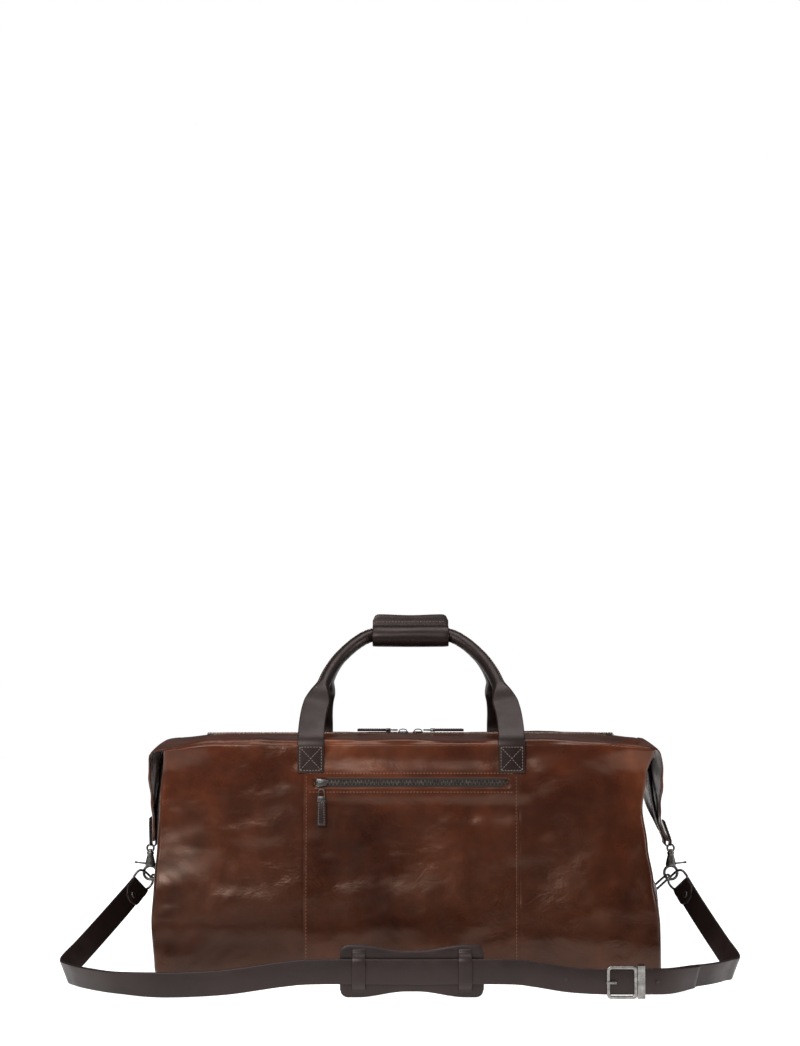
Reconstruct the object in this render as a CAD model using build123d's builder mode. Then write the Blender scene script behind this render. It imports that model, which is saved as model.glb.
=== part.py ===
"""A leather weekender bag: panels, zips, rolled handles, end hooks and a shoulder strap.

Millimetres, +Z up, front towards -Y. The origin is the middle of the underside of the base.
"""
from build123d import *
import os

# bag body
LENGTH = 508.0
DEPTH = 250.0
WALL_TOP = 231.0
ROOF_RISE = 5.0
SHOULDER = 12.0
BASE_EDGE = 9.0
HEIGHT = WALL_TOP + ROOF_RISE
LEATHER = 2.4
LINING = 0.8
LINING_INSET = 5.0
BOARD_GAP = 4.0
BOARD_CORNER = 12.0
POUCH_THICK = 1.6
POUCH_GAP = 0.8
POUCH_DEEP = 120.0
SEAM = 109.0
ROOF_LINE = WALL_TOP - 13.0

# zips
ZIP_TAPE = 26.0
ZIP_TEETH = 6.0
ZIP_THICK = 1.6
MAIN_ZIP = 440.0
POCKET_ZIP = 200.0
POCKET_SLOT = 11.0
POCKET_Z = 195.0
SLIDER_LONG = 11.0
SLIDER_WIDE = 9.0
SLIDER_HIGH = 4.0
SLIDER_GAP = 0.4
CROWN_LONG = 7.7
CROWN_WIDE = 2.25
SLIDER_X = 8.0
POCKET_SLIDER_X = -91.0
PULL_HINGE = 6.5
PULL_RISE = 3.4
PULL_LONG = 34.0
POCKET_PULL_LONG = 28.0
PULL_WIDE = 9.0
PULL_THICK = 2.2
LINK_WIRE = 0.8
LINK_WIDE = 5.0
LINK_LONG = 9.0
LINK_CORNER = 2.0
TAB_CORNER = 2.0
SLIDER_CORNER = 3.0
TAPE_END = 4.0

# handles
FOOT_X = 102.0
FOOT_WIDE = 27.0
FOOT_BOTTOM = 205.0
FOOT_TOP = 230.0
STRAP_LEATHER = 3.0
HINGE_Y = DEPTH / 2 + 3.0
HINGE_Z = 234.0
ROLL_Y = 12.2
ROLL_Z = 341.0
ROLL_RADIUS = 7.0
LEG_GAP = 3.0
LEG_HIGH = 62.0
TAPER_HIGH = 86.0
ROLL_LOW = (97.0, 60.0)
ROLL_BEND = (88.0, 100.0)
ROLL_CORNER = 56.0
ROLL_TURNS = (60, 20, 20, 60)
TAPER_OUT = 98.0
TAPER_IN = 86.0
GRIP_LONG = 82.0
GRIP_RADIUS = 11.6
FIN_TOP = 364.0
FIN_THICK = 2.8
FIN_GAP = 0.4
FIN_CORNER = 6.0
SNAP_X = 28.0
SNAP_RISE = 15.0
SNAP_RADIUS = 4.0
SNAP_THICK = 1.4
CLEAR = 0.3

# end hardware
WING_TOP = 150.0
WING_TIP = 24.0
WING_OUT = 8.0
WING_THICK = 3.0
WING_START = HEIGHT - 4.0
WING_FOLD = HEIGHT - 14.0
WING_TURN = 10.0
HOOK_X = 281.0
WING_LOW = 120.0
EYE_Z = 112.0
EYE_RADIUS = 3.6
HOOK_TOP = 108.0
HOOK_LOW = 93.0
HOOK_THICK = 5.0
HOOK_NECK = 3.0
HOOK_HIP = 5.5
LOOP_Z = 86.0
LOOP_RADIUS = 7.0
LOOP_WIRE = 1.4
RING_WIRE = 1.2
BAG_RING_AT = (278.6, 82.9)
BAG_RING_END = (259.5, 66.0)
BAG_RING_WIDE = 22.0
BAG_RING_CORNER = 4.0
TAB_HOLE = 1.5
TAB_LOW = 36.0
TAB_WIDE = 16.0
STRAP_RING_AT = (283.6, 0.0, 84.4)
STRAP_RING_BAR = (0.50, -0.60, 0.62)
STRAP_RING_WAY = (0.62, -0.20, -0.75)
STRAP_RING_WIDE = 26.0
STRAP_RING_LONG = 15.0
STRAP_RING_CORNER = 7.0
LEVER_AT = (288.6, 96.0)
LEVER_TIP = (298.0, 97.2)
LEVER_RADIUS = 1.0

# shoulder strap
STRAP_WIDE = 24.0
STRAP_THICK = 3.0
RUN_Y = -225.0
STRAP_RISE = 13.0
BUCKLE_RISE = 3.5
RING_END = (302.0, -13.2)
RING_END_Z = 71.0
SIDE_MARGIN = 5.0
SIDE_HALF = 14.4
SIDE_TOE = 9.0
LEFT_CREASE = (-347.0, -155.0)
RIGHT_CREASE = (328.0, -138.0)
LEFT_BEND = (-285.0, -214.0)
LEFT_NEAR = (-235.0, RUN_Y)
RIGHT_BEND = (290.0, -186.0)
RIGHT_NEAR = (244.0, RUN_Y)
LAYER_GAP = 4.2
LAYER_SHIFT = 2.0
LONG_TURNS = (50, 150, 40)
SHORT_TURNS = (40, 40)
FLAT_RUN = 105.0
LOW_RUN = 165.0
PAD_LONG = 138.0
PAD_HIGH = 50.0
PAD_THICK = 3.0
PAD_CORNER = 9.0
SLOT_GAP = 0.5
BRIDGE_X = 51.0
BRIDGE_WIDE = 12.0
BUCKLE_LOW = 186.0
BUCKLE_LONG = 29.0
BUCKLE_HIGH = 31.0
BUCKLE_WIRE = 3.0
BUCKLE_CORNER = 4.0
BUCKLE_EASE = 0.9
PRONG_LIP = 0.5
KEEPER_X = 215.6
KEEPER_WIDE = 7.0
KEEPER_WALL = 1.6
PRONG_LONG = 9.0
PRONG_RADIUS = 1.2
PRONG_Y = STRAP_THICK / 2 + CLEAR + BUCKLE_WIRE + PRONG_RADIUS + CLEAR - RUN_Y
TAIL_END = 280.0

os.makedirs("parts", exist_ok=True)


def save(part, name):
    """Label one finished piece and write it to its own file."""
    part.label = name
    export_step(part, f"parts/{name}.step")


def side_outline(grow=0.0):
    """The bag's outline seen from its end, grown or shrunk by an offset."""
    half = DEPTH / 2
    with BuildSketch(Plane.YZ) as outline:
        with BuildLine():
            Polyline((-half, WALL_TOP), (-half, 0), (half, 0), (half, WALL_TOP))
            ThreePointArc((half, WALL_TOP), (0, HEIGHT), (-half, WALL_TOP))
        make_face()
        corners = outline.vertices().group_by(Axis.Y)
        fillet(corners[0], BASE_EDGE)
        fillet(outline.vertices().group_by(Axis.Y)[-1], SHOULDER)
        if grow:
            offset(amount=grow)
    return outline.sketch


def skin(outer, inner, x_low, x_high, y_range, z_range):
    """A stretch of the bag's skin between two offsets of its outline, cut to a box."""
    middle = ((x_low + x_high) / 2, sum(y_range) / 2, sum(z_range) / 2)
    place = Location((x_low, 0, 0))
    outside = side_outline(outer).moved(place)
    inside = side_outline(inner).moved(place)
    with BuildPart() as stretch:
        extrude(outside, amount=x_high - x_low, dir=(1, 0, 0))
        extrude(inside, amount=x_high - x_low, dir=(1, 0, 0), mode=Mode.SUBTRACT)
        with Locations(middle):
            Box(x_high - x_low, y_range[1] - y_range[0], z_range[1] - z_range[0],
                mode=Mode.INTERSECT)
    return stretch.part


def body_panels():
    """The leather panels round the bag, each cut from the one skin."""
    half = LENGTH / 2
    out = DEPTH
    spans = {"left": (-half, -SEAM), "center": (-SEAM, SEAM), "right": (SEAM, half)}
    faces = {"front": (-out, -DEPTH / 2 + BASE_EDGE), "back": (DEPTH / 2 - BASE_EDGE, out)}
    for face, y_range in faces.items():
        for side, (x_low, x_high) in spans.items():
            panel = skin(0, -LEATHER, x_low, x_high, y_range, (BASE_EDGE, ROOF_LINE))
            with BuildPart() as piece:
                add(panel)
                if (face, side) == ("front", "center"):
                    with Locations((0, -DEPTH / 2, POCKET_Z)):
                        Box(POCKET_ZIP, 4 * LEATHER, POCKET_SLOT, mode=Mode.SUBTRACT)
            save(piece.part, f"{face}_panel_{side}")
    save(skin(0, -LEATHER, -half, half, (-out, out), (0, BASE_EDGE)), "base_panel")
    slot = ZIP_TEETH / 2 + CLEAR
    save(skin(0, -LEATHER, -half, half, (-out, -slot), (ROOF_LINE, out)), "roof_panel_front")
    save(skin(0, -LEATHER, -half, half, (slot, out), (ROOF_LINE, out)), "roof_panel_back")


def end_panels():
    """The two end gussets, which close the skin."""
    for name, side in (("left", -1), ("right", 1)):
        place = Location((side * (LENGTH / 2 - LEATHER), 0, 0))
        outline = side_outline(-LEATHER).moved(place)
        with BuildPart() as gusset:
            extrude(outline, amount=LEATHER, dir=(side, 0, 0))
        save(gusset.part, f"gusset_{name}")


def inner_parts():
    """The stiff board under the floor, the lining and the pouch behind the pocket zip."""
    room = LENGTH - 2 * LEATHER
    with BuildPart() as board:
        with BuildSketch(Plane.XY.offset(LEATHER)):
            RectangleRounded(room - 2 * BOARD_GAP, DEPTH - 2 * BASE_EDGE - BOARD_GAP,
                             BOARD_CORNER)
        extrude(amount=LEATHER)
    save(board.part, "base_board")
    inset = LEATHER + LINING_INSET
    outside = side_outline(-inset).moved(Location((-room / 2, 0, 0)))
    inside = side_outline(-inset - LINING).moved(Location((LINING - room / 2, 0, 0)))
    with BuildPart() as lining:
        extrude(outside, amount=room, dir=(1, 0, 0))
        extrude(inside, amount=room - 2 * LINING, dir=(1, 0, 0), mode=Mode.SUBTRACT)
    save(lining.part, "lining")
    behind = -DEPTH / 2 + LEATHER + ZIP_THICK + POUCH_GAP
    with BuildPart() as pouch:
        with Locations((0, behind + POUCH_THICK / 2, POCKET_Z - POUCH_DEEP / 2)):
            Box(POCKET_ZIP, POUCH_THICK, POUCH_DEEP)
    save(pouch.part, "pocket_pouch")


def main_zip():
    """The long zip along the ridge of the roof: two tapes and a row of closed teeth."""
    for name, side in (("front", -1), ("back", 1)):
        near = side * (ZIP_TEETH / 2 + CLEAR)
        far = side * ZIP_TAPE / 2
        tape = skin(-LEATHER, -LEATHER - ZIP_THICK, -MAIN_ZIP / 2, MAIN_ZIP / 2,
                    (min(near, far), max(near, far)), (ROOF_LINE, DEPTH))
        save(tape, f"main_zip_tape_{name}")
    teeth = skin(0, -LEATHER - ZIP_THICK, -MAIN_ZIP / 2, MAIN_ZIP / 2,
                 (-ZIP_TEETH / 2, ZIP_TEETH / 2), (ROOF_LINE, DEPTH))
    save(teeth, "main_zip_teeth")


def pocket_zip():
    """The front pocket's zip, behind its slot in the middle panel."""
    behind = -DEPTH / 2 + LEATHER
    with BuildPart() as tape:
        with Locations((0, behind + ZIP_THICK / 2, POCKET_Z)):
            Box(POCKET_ZIP + 2 * TAPE_END, ZIP_THICK, ZIP_TAPE)
    save(tape.part, "pocket_zip_tape")
    with BuildPart() as teeth:
        with Locations((0, behind - LEATHER / 2, POCKET_Z)):
            Box(POCKET_ZIP, LEATHER, ZIP_TEETH)
    save(teeth.part, "pocket_zip_teeth")


def slider(plane, name):
    """One zip slider on the zip's face: a base plate and a bridge; local X is along the zip."""
    with BuildPart() as block:
        with BuildSketch(plane.offset(SLIDER_GAP)):
            RectangleRounded(SLIDER_LONG, SLIDER_WIDE, SLIDER_CORNER)
        extrude(amount=SLIDER_HIGH / 2)
        with BuildSketch(plane.offset(SLIDER_GAP + SLIDER_HIGH / 2)):
            Rectangle(CROWN_LONG, CROWN_WIDE)
        extrude(amount=SLIDER_HIGH / 2)
    save(block.part, name)


def pull(plane, name, long):
    """A zip pull lying along local X from its hinge at the plane's origin: a link and a tab."""
    reach = LINK_LONG + long
    with BuildPart() as link:
        with BuildSketch(plane):
            with Locations((LINK_LONG / 2, 0)):
                RectangleRounded(LINK_LONG, LINK_WIDE, LINK_CORNER)
                RectangleRounded(LINK_LONG - 2 * LINK_WIRE, LINK_WIDE - 2 * LINK_WIRE,
                                 LINK_CORNER - LINK_WIRE, mode=Mode.SUBTRACT)
        extrude(amount=LINK_WIRE / 2, both=True)
    save(link.part, f"{name}_link")
    with BuildPart() as tab:
        with BuildSketch(plane):
            with Locations(((reach + LINK_LONG) / 2, 0)):
                RectangleRounded(long, PULL_WIDE, TAB_CORNER)
        extrude(amount=PULL_THICK / 2, both=True)
    save(tab.part, f"{name}_tab")


def sliders_and_pulls():
    """Two sliders on the roof zip with their pulls lying outwards, and one on the pocket."""
    for name, side in (("left", -1), ("right", 1)):
        out = (side, 0, 0)
        at = side * SLIDER_X
        slider(Plane((at, 0, HEIGHT), x_dir=out, z_dir=(0, 0, 1)), f"main_slider_{name}")
        hinge = (at + side * PULL_HINGE, 0, HEIGHT + PULL_RISE)
        pull(Plane(hinge, x_dir=out, z_dir=(0, 0, 1)), f"main_pull_{name}", PULL_LONG)
    face = -DEPTH / 2
    slider(Plane((POCKET_SLIDER_X, face, POCKET_Z), x_dir=(1, 0, 0), z_dir=(0, -1, 0)),
           "pocket_slider")
    hinge = (POCKET_SLIDER_X, face - PULL_RISE, POCKET_Z - PULL_HINGE)
    pull(Plane(hinge, x_dir=(0, 0, -1), z_dir=(0, -1, 0)), "pocket_pull", POCKET_PULL_LONG)


def handle(name, side):
    """One handle: two flat legs that roll into a round carrying part, on a leaning plane."""
    lean = Vector(0, -side * (HINGE_Y - ROLL_Y), ROLL_Z - HINGE_Z)
    plane = Plane((0, side * HINGE_Y, HINGE_Z), x_dir=(1, 0, 0),
                  z_dir=Vector(1, 0, 0).cross(lean))
    top = lean.length
    with BuildPart() as bow:
        with BuildLine(plane) as route:
            FilletPolyline((-ROLL_LOW[0], ROLL_LOW[1]), (-ROLL_BEND[0], ROLL_BEND[1]),
                           (-ROLL_CORNER, top), (ROLL_CORNER, top),
                           (ROLL_BEND[0], ROLL_BEND[1]), (ROLL_LOW[0], ROLL_LOW[1]),
                           radius=ROLL_TURNS)
        with BuildSketch(Plane(route.line @ 0, z_dir=route.line % 0)):
            Circle(ROLL_RADIUS)
        sweep()
        with BuildSketch(plane):
            for end in (-1, 1):
                outer = end * (FOOT_X + FOOT_WIDE / 2)
                inner = end * (FOOT_X - FOOT_WIDE / 2)
                with BuildLine():
                    Polyline((outer, LEG_GAP), (outer, LEG_HIGH), (end * TAPER_OUT, TAPER_HIGH),
                             (end * TAPER_IN, TAPER_HIGH), (inner, LEG_HIGH),
                             (inner, LEG_GAP), close=True)
                make_face()
        extrude(amount=STRAP_LEATHER / 2, both=True)
    save(bow.part, f"{name}_handle")


def handle_feet(name, side):
    """The two stitched feet of one handle, flat on the bag's skin."""
    y_range = (0, DEPTH) if side > 0 else (-DEPTH, 0)
    pair = [skin(STRAP_LEATHER, 0, x - FOOT_WIDE / 2, x + FOOT_WIDE / 2, y_range,
                 (FOOT_BOTTOM, FOOT_TOP)) for x in (-FOOT_X, FOOT_X)]
    with BuildPart() as feet:
        add(pair)
    save(feet.part, f"{name}_handle_feet")


def grip(name, side):
    """Half of the buttoned grip: a padded sleeve with a fin that meets the other half."""
    with BuildPart() as sleeve:
        with BuildSketch(Plane.YZ.offset(-GRIP_LONG / 2)):
            with Locations((side * ROLL_Y, ROLL_Z)):
                Circle(GRIP_RADIUS)
            with Locations((side * (FIN_GAP + FIN_THICK / 2), (ROLL_Z + FIN_TOP) / 2)):
                Rectangle(FIN_THICK, FIN_TOP - ROLL_Z)
            with Locations((side * ROLL_Y, ROLL_Z)):
                Circle(ROLL_RADIUS, mode=Mode.SUBTRACT)
        extrude(amount=GRIP_LONG)
        fillet(sleeve.edges().filter_by(Axis.Y).group_by(Axis.Z)[-1], FIN_CORNER)
        snap_plane = Plane((0, side * FIN_GAP, ROLL_Z + SNAP_RISE), x_dir=(1, 0, 0),
                           z_dir=(0, side, 0))
        with BuildSketch(snap_plane):
            with Locations((-SNAP_X, 0), (SNAP_X, 0)):
                Circle(SNAP_RADIUS)
        extrude(amount=SNAP_THICK, mode=Mode.SUBTRACT)
    save(sleeve.part, f"{name}_grip")
    with BuildPart() as snaps:
        with BuildSketch(snap_plane):
            with Locations((-SNAP_X, 0), (SNAP_X, 0)):
                Circle(SNAP_RADIUS)
        extrude(amount=SNAP_THICK)
    save(snaps.part, f"{name}_grip_snaps")


def flat_ring(plane, wide, long, corner):
    """A wire ring: a rounded frame with its edges eased, lying in the given plane."""
    with BuildPart() as ring:
        with BuildSketch(plane):
            RectangleRounded(wide + 2 * RING_WIRE, long + 2 * RING_WIRE, corner + RING_WIRE)
            RectangleRounded(wide - 2 * RING_WIRE, long - 2 * RING_WIRE, corner - RING_WIRE,
                             mode=Mode.SUBTRACT)
        extrude(amount=RING_WIRE, both=True)
        flats = ring.faces().filter_by(Axis(plane.origin, plane.z_dir))
        fillet(flats.edges(), RING_WIRE * 0.7)
    return ring.part


def wing(side):
    """The roof's end folded down over the gusset and narrowed to the hook."""
    start = side * (LENGTH / 2 + WING_THICK / 2 + CLEAR)
    out = side * (LENGTH / 2 + WING_OUT)
    with BuildPart() as flap:
        with BuildSketch(Plane.XZ.offset(-WING_TOP / 2)):
            with BuildLine():
                FilletPolyline((start, WING_START), (out, WING_FOLD),
                               (side * HOOK_X, WING_LOW), radius=WING_TURN)
            trace(line_width=WING_THICK)
        extrude(amount=WING_TOP)
        with BuildSketch(Plane.YZ.offset(side * LENGTH / 2)):
            with BuildLine():
                Polyline((-WING_TOP / 2, HEIGHT), (WING_TOP / 2, HEIGHT), (WING_TIP / 2, WING_LOW),
                         (-WING_TIP / 2, WING_LOW), close=True)
            make_face()
        extrude(amount=side * 2 * (HOOK_X - LENGTH / 2), mode=Mode.INTERSECT)
    return flap.part


def hook(side):
    """The snap hook: an eye, a tapered body and the loop that holds both rings."""
    at = side * HOOK_X
    with BuildPart() as body:
        with BuildSketch(Plane.XZ.offset(-HOOK_THICK / 2)):
            with BuildLine():
                Polyline((at - HOOK_NECK, HOOK_TOP), (at + HOOK_NECK, HOOK_TOP),
                         (at + HOOK_HIP, HOOK_LOW), (at - HOOK_HIP, HOOK_LOW), close=True)
            make_face()
        extrude(amount=HOOK_THICK)
        with BuildSketch(Plane((at, 0, LOOP_Z), x_dir=(1, 0, 0), z_dir=(0, 1, 0))):
            Circle(LOOP_RADIUS + LOOP_WIRE)
            Circle(LOOP_RADIUS - LOOP_WIRE, mode=Mode.SUBTRACT)
        extrude(amount=LOOP_WIRE, both=True)
        with BuildSketch(Plane((at, 0, EYE_Z), x_dir=(1, 0, 0), z_dir=(0, 1, 0))):
            Circle(EYE_RADIUS + RING_WIRE)
            Circle(EYE_RADIUS - RING_WIRE, mode=Mode.SUBTRACT)
        extrude(amount=RING_WIRE, both=True)
    return body.part


def lever(side):
    """The thumb lever that opens the hook's gate."""
    start = Vector(side * LEVER_AT[0], 0, LEVER_AT[1])
    tip = Vector(side * LEVER_TIP[0], 0, LEVER_TIP[1])
    with BuildPart() as bar:
        with BuildSketch(Plane(start, z_dir=tip - start)):
            Circle(LEVER_RADIUS)
        extrude(amount=(tip - start).length)
    return bar.part


def bag_ring(side):
    """The ring held by the gusset's tab, passing through the hook."""
    near = Vector(side * BAG_RING_AT[0], 0, BAG_RING_AT[1])
    far = Vector(side * BAG_RING_END[0], 0, BAG_RING_END[1])
    down = far - near
    plane = Plane((near + far) * 0.5, x_dir=(0, 1, 0), z_dir=Vector(0, 1, 0).cross(down))
    return flat_ring(plane, BAG_RING_WIDE, down.length, BAG_RING_CORNER)


def ring_tab(side):
    """The leather tab on the gusset that wraps the ring's lower bar."""
    face = side * LENGTH / 2
    bar = (side * BAG_RING_END[0], BAG_RING_END[1])
    with BuildPart() as tab:
        with BuildSketch(Plane.XZ.offset(-TAB_WIDE / 2)):
            with Locations((face + side * STRAP_LEATHER / 2, (TAB_LOW + bar[1]) / 2)):
                Rectangle(STRAP_LEATHER, bar[1] - TAB_LOW)
            with Locations(bar):
                Circle(TAB_HOLE + STRAP_LEATHER)
                Circle(TAB_HOLE, mode=Mode.SUBTRACT)
        extrude(amount=TAB_WIDE)
    return tab.part


def strap_ring(side):
    """The ring on the end of the shoulder strap, tilted out of the hook's plane."""
    at = Vector(side * STRAP_RING_AT[0], STRAP_RING_AT[1], STRAP_RING_AT[2])
    bar = Vector(side * STRAP_RING_BAR[0], STRAP_RING_BAR[1], STRAP_RING_BAR[2])
    way = Vector(side * STRAP_RING_WAY[0], STRAP_RING_WAY[1], STRAP_RING_WAY[2])
    normal = bar.cross(way)
    centre = at + way.normalized() * (STRAP_RING_LONG / 2)
    return flat_ring(Plane(centre, x_dir=bar, z_dir=normal), STRAP_RING_WIDE,
                     STRAP_RING_LONG, STRAP_RING_CORNER)


def end_hardware():
    """Everything that hangs at the bag's two ends."""
    makers = {"wing": wing, "snap_hook": hook, "hook_lever": lever, "bag_ring": bag_ring,
              "ring_tab": ring_tab, "strap_ring": strap_ring}
    for name, side in (("left", -1), ("right", 1)):
        for piece, make in makers.items():
            save(make(side), f"{piece}_{name}")


def ribbon(points, radii, high):
    """A strip of strap leather standing on edge along a plan route, from the floor up."""
    with BuildPart() as strip:
        with BuildSketch(Plane.XY):
            with BuildLine():
                if radii:
                    FilletPolyline(*points, radius=radii)
                else:
                    Polyline(*points)
            trace(line_width=STRAP_THICK)
        extrude(amount=high)
    return strip.part


def cut_to_front(strip, outline):
    """The part of a strip that lies behind an outline drawn in the front view."""
    with BuildPart() as cut:
        add(strip)
        with BuildSketch(Plane.XZ.offset(-DEPTH)):
            with BuildLine():
                Polyline(*outline, close=True)
            make_face()
        extrude(amount=3 * DEPTH, mode=Mode.INTERSECT)
    return cut.part


def strap_side(side, corner):
    """The strap from its ring down to the crease where it reaches the floor."""
    ring = (side * RING_END[0], RING_END[1])
    strip = ribbon([ring, corner], None, 2 * RING_END_Z)
    near = ring[0] - side * SIDE_MARGIN
    far = corner[0] + side * SIDE_MARGIN
    return cut_to_front(strip, [(near, RING_END_Z + SIDE_MARGIN - SIDE_HALF),
                                (near, RING_END_Z + SIDE_MARGIN + SIDE_HALF),
                                (far, STRAP_WIDE), (far, 0), (corner[0] - side * SIDE_TOE, 0)])


def strap_run_outline():
    """Front outline of the strap's run along the floor, lifted where the pad holds it."""
    end = STRAP_WIDE - LEFT_CREASE[0]
    lower = [(-end, 0), (-LOW_RUN, 0), (-FLAT_RUN, STRAP_RISE), (FLAT_RUN, STRAP_RISE),
             (LOW_RUN, BUCKLE_RISE), (RIGHT_NEAR[0], BUCKLE_RISE), (RIGHT_BEND[0], 0), (end, 0)]
    upper = [(x, z + STRAP_WIDE) for x, z in reversed(lower)]
    return lower + upper


def long_strap():
    """The long strap: left ring, crease, run through the pad and the buckle to its tail."""
    slope = (RIGHT_BEND[1] - RUN_Y) / (RIGHT_BEND[0] - RIGHT_NEAR[0])
    tail = (TAIL_END, RUN_Y + slope * (TAIL_END - RIGHT_NEAR[0]))
    strip = ribbon([LEFT_CREASE, LEFT_BEND, LEFT_NEAR, RIGHT_NEAR, tail], LONG_TURNS,
                   3 * STRAP_WIDE)
    pieces = [cut_to_front(strip, strap_run_outline()), strap_side(-1, LEFT_CREASE)]
    with BuildPart() as strap:
        add(pieces)
    save(strap.part, "shoulder_strap_long")


def short_strap():
    """The short strap: right ring, crease, and behind the long strap to the buckle."""
    behind = [(x - LAYER_SHIFT, y + LAYER_GAP) for x, y in (RIGHT_BEND, RIGHT_NEAR)]
    start = (BUCKLE_LOW + BUCKLE_LONG / 2, RUN_Y + LAYER_GAP)
    strip = ribbon([RIGHT_CREASE, *behind, start], SHORT_TURNS, 3 * STRAP_WIDE)
    pieces = [cut_to_front(strip, strap_run_outline()), strap_side(1, RIGHT_CREASE)]
    with BuildPart() as strap:
        add(pieces)
    save(strap.part, "shoulder_strap_short")


def shoulder_pad():
    """The pad that slides on the strap: a plate behind it and two bridges over it."""
    back = RUN_Y + STRAP_THICK / 2 + CLEAR
    front = RUN_Y - STRAP_THICK / 2 - CLEAR - PAD_THICK
    middle = STRAP_RISE + STRAP_WIDE / 2
    tall = STRAP_WIDE + 2 * SLOT_GAP + 2 * PAD_THICK
    with BuildPart() as pad:
        with BuildSketch(Plane.XZ.offset(-back - PAD_THICK)):
            with Locations((0, PAD_HIGH / 2)):
                RectangleRounded(PAD_LONG, PAD_HIGH, PAD_CORNER)
        extrude(amount=PAD_THICK)
        with BuildSketch(Plane.XZ.offset(-back)):
            with Locations((-BRIDGE_X, middle), (BRIDGE_X, middle)):
                Rectangle(BRIDGE_WIDE, tall)
        extrude(amount=back - front)
        with BuildSketch(Plane.XZ.offset(-back)):
            with Locations((0, middle)):
                Rectangle(PAD_LONG, STRAP_WIDE + 2 * SLOT_GAP)
        extrude(amount=back - front - PAD_THICK, mode=Mode.SUBTRACT)
    save(pad.part, "shoulder_pad")


def buckle():
    """The strap's buckle: a square frame, its prong, and a metal keeper beside it."""
    face = -RUN_Y + STRAP_THICK / 2 + CLEAR
    middle = (BUCKLE_LOW + BUCKLE_LONG / 2, BUCKLE_HIGH / 2)
    with BuildPart() as frame:
        with BuildSketch(Plane.XZ.offset(face)):
            with Locations(middle):
                RectangleRounded(BUCKLE_LONG, BUCKLE_HIGH, BUCKLE_CORNER)
                RectangleRounded(BUCKLE_LONG - 2 * BUCKLE_WIRE, BUCKLE_HIGH - 2 * BUCKLE_WIRE,
                                 BUCKLE_CORNER / 2, mode=Mode.SUBTRACT)
        extrude(amount=BUCKLE_WIRE)
        fillet(frame.faces().filter_by(Axis.Y).edges(), BUCKLE_EASE)
    save(frame.part, "buckle_frame")
    reach = (BUCKLE_LOW - PRONG_LIP, BUCKLE_LOW + PRONG_LONG)
    with BuildPart() as prong:
        with BuildSketch(Plane((reach[0], -PRONG_Y, middle[1]), z_dir=(1, 0, 0))):
            Circle(PRONG_RADIUS)
        extrude(amount=reach[1] - reach[0])
    save(prong.part, "buckle_prong")
    low = -RUN_Y - STRAP_THICK / 2 - LAYER_GAP
    with BuildPart() as keeper:
        with BuildSketch(Plane.YZ.offset(KEEPER_X)):
            with Locations((-(low + face) / 2, BUCKLE_HIGH / 2)):
                Rectangle(face - low + 2 * KEEPER_WALL + CLEAR, BUCKLE_HIGH)
                Rectangle(face - low + CLEAR, BUCKLE_HIGH - 2 * KEEPER_WALL, mode=Mode.SUBTRACT)
        extrude(amount=KEEPER_WIDE)
    save(keeper.part, "buckle_keeper")


body_panels()
end_panels()
inner_parts()
main_zip()
pocket_zip()
sliders_and_pulls()
for handle_name, handle_side in (("front", -1), ("back", 1)):
    handle(handle_name, handle_side)
    handle_feet(handle_name, handle_side)
    grip(handle_name, handle_side)
end_hardware()
long_strap()
short_strap()
shoulder_pad()
buckle()
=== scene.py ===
"""The looks of a leather weekender bag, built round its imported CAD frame.

Lengths in the functions are millimetres, and mesh_piece() turns them into metres.
+X is the bag's length, -Y its front, +Z up, as in the frame.
"""

import math

import bmesh
import bpy
from mathutils import Matrix, Vector, noise
from mathutils.bvhtree import BVHTree


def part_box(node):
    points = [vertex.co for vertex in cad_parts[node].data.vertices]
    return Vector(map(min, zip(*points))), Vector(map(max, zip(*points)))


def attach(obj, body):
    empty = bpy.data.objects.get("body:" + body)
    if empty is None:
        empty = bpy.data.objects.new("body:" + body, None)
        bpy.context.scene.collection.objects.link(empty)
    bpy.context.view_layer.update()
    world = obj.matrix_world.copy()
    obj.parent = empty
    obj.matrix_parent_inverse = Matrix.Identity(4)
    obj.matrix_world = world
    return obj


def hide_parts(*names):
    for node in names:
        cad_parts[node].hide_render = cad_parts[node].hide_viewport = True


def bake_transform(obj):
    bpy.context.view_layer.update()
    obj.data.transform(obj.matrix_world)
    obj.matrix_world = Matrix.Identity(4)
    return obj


MM = 0.001

# the camera, in metres
CAMERA_X = -0.0114
CAMERA_Y = -2.0
CAMERA_Z = 0.38
CAMERA_TILT = 2.40
CAMERA_LENS = 63.3

# the studio: light from the room, then each lamp's place, its width and height, and its power
ROOM_LIGHT = 0.10
LIGHTS = (("left", (-1.5, -1.3, 0.9), (0.4, 1.0), 14),
          ("right", (1.9, -0.9, 0.8), (0.4, 1.0), 12),
          ("key", (-0.60, -1.9, 1.00), (0.9, 0.35), 26),
          ("top", (0.1, -0.3, 1.9), (1.6, 0.9), 22))
FLOOR_REACH = 2.4
FLOOR_FRONT = 0.50
FLOOR_GLOW = 0.80

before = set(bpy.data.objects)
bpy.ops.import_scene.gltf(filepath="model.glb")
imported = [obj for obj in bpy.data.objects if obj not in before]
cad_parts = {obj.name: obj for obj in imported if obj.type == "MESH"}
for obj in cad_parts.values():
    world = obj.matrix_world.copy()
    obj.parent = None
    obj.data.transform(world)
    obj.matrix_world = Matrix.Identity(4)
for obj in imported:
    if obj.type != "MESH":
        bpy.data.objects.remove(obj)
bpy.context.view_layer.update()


def node_box(name):
    """A CAD node's lowest and highest corners, in millimetres."""
    low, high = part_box(name)
    return low / MM, high / MM


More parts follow.
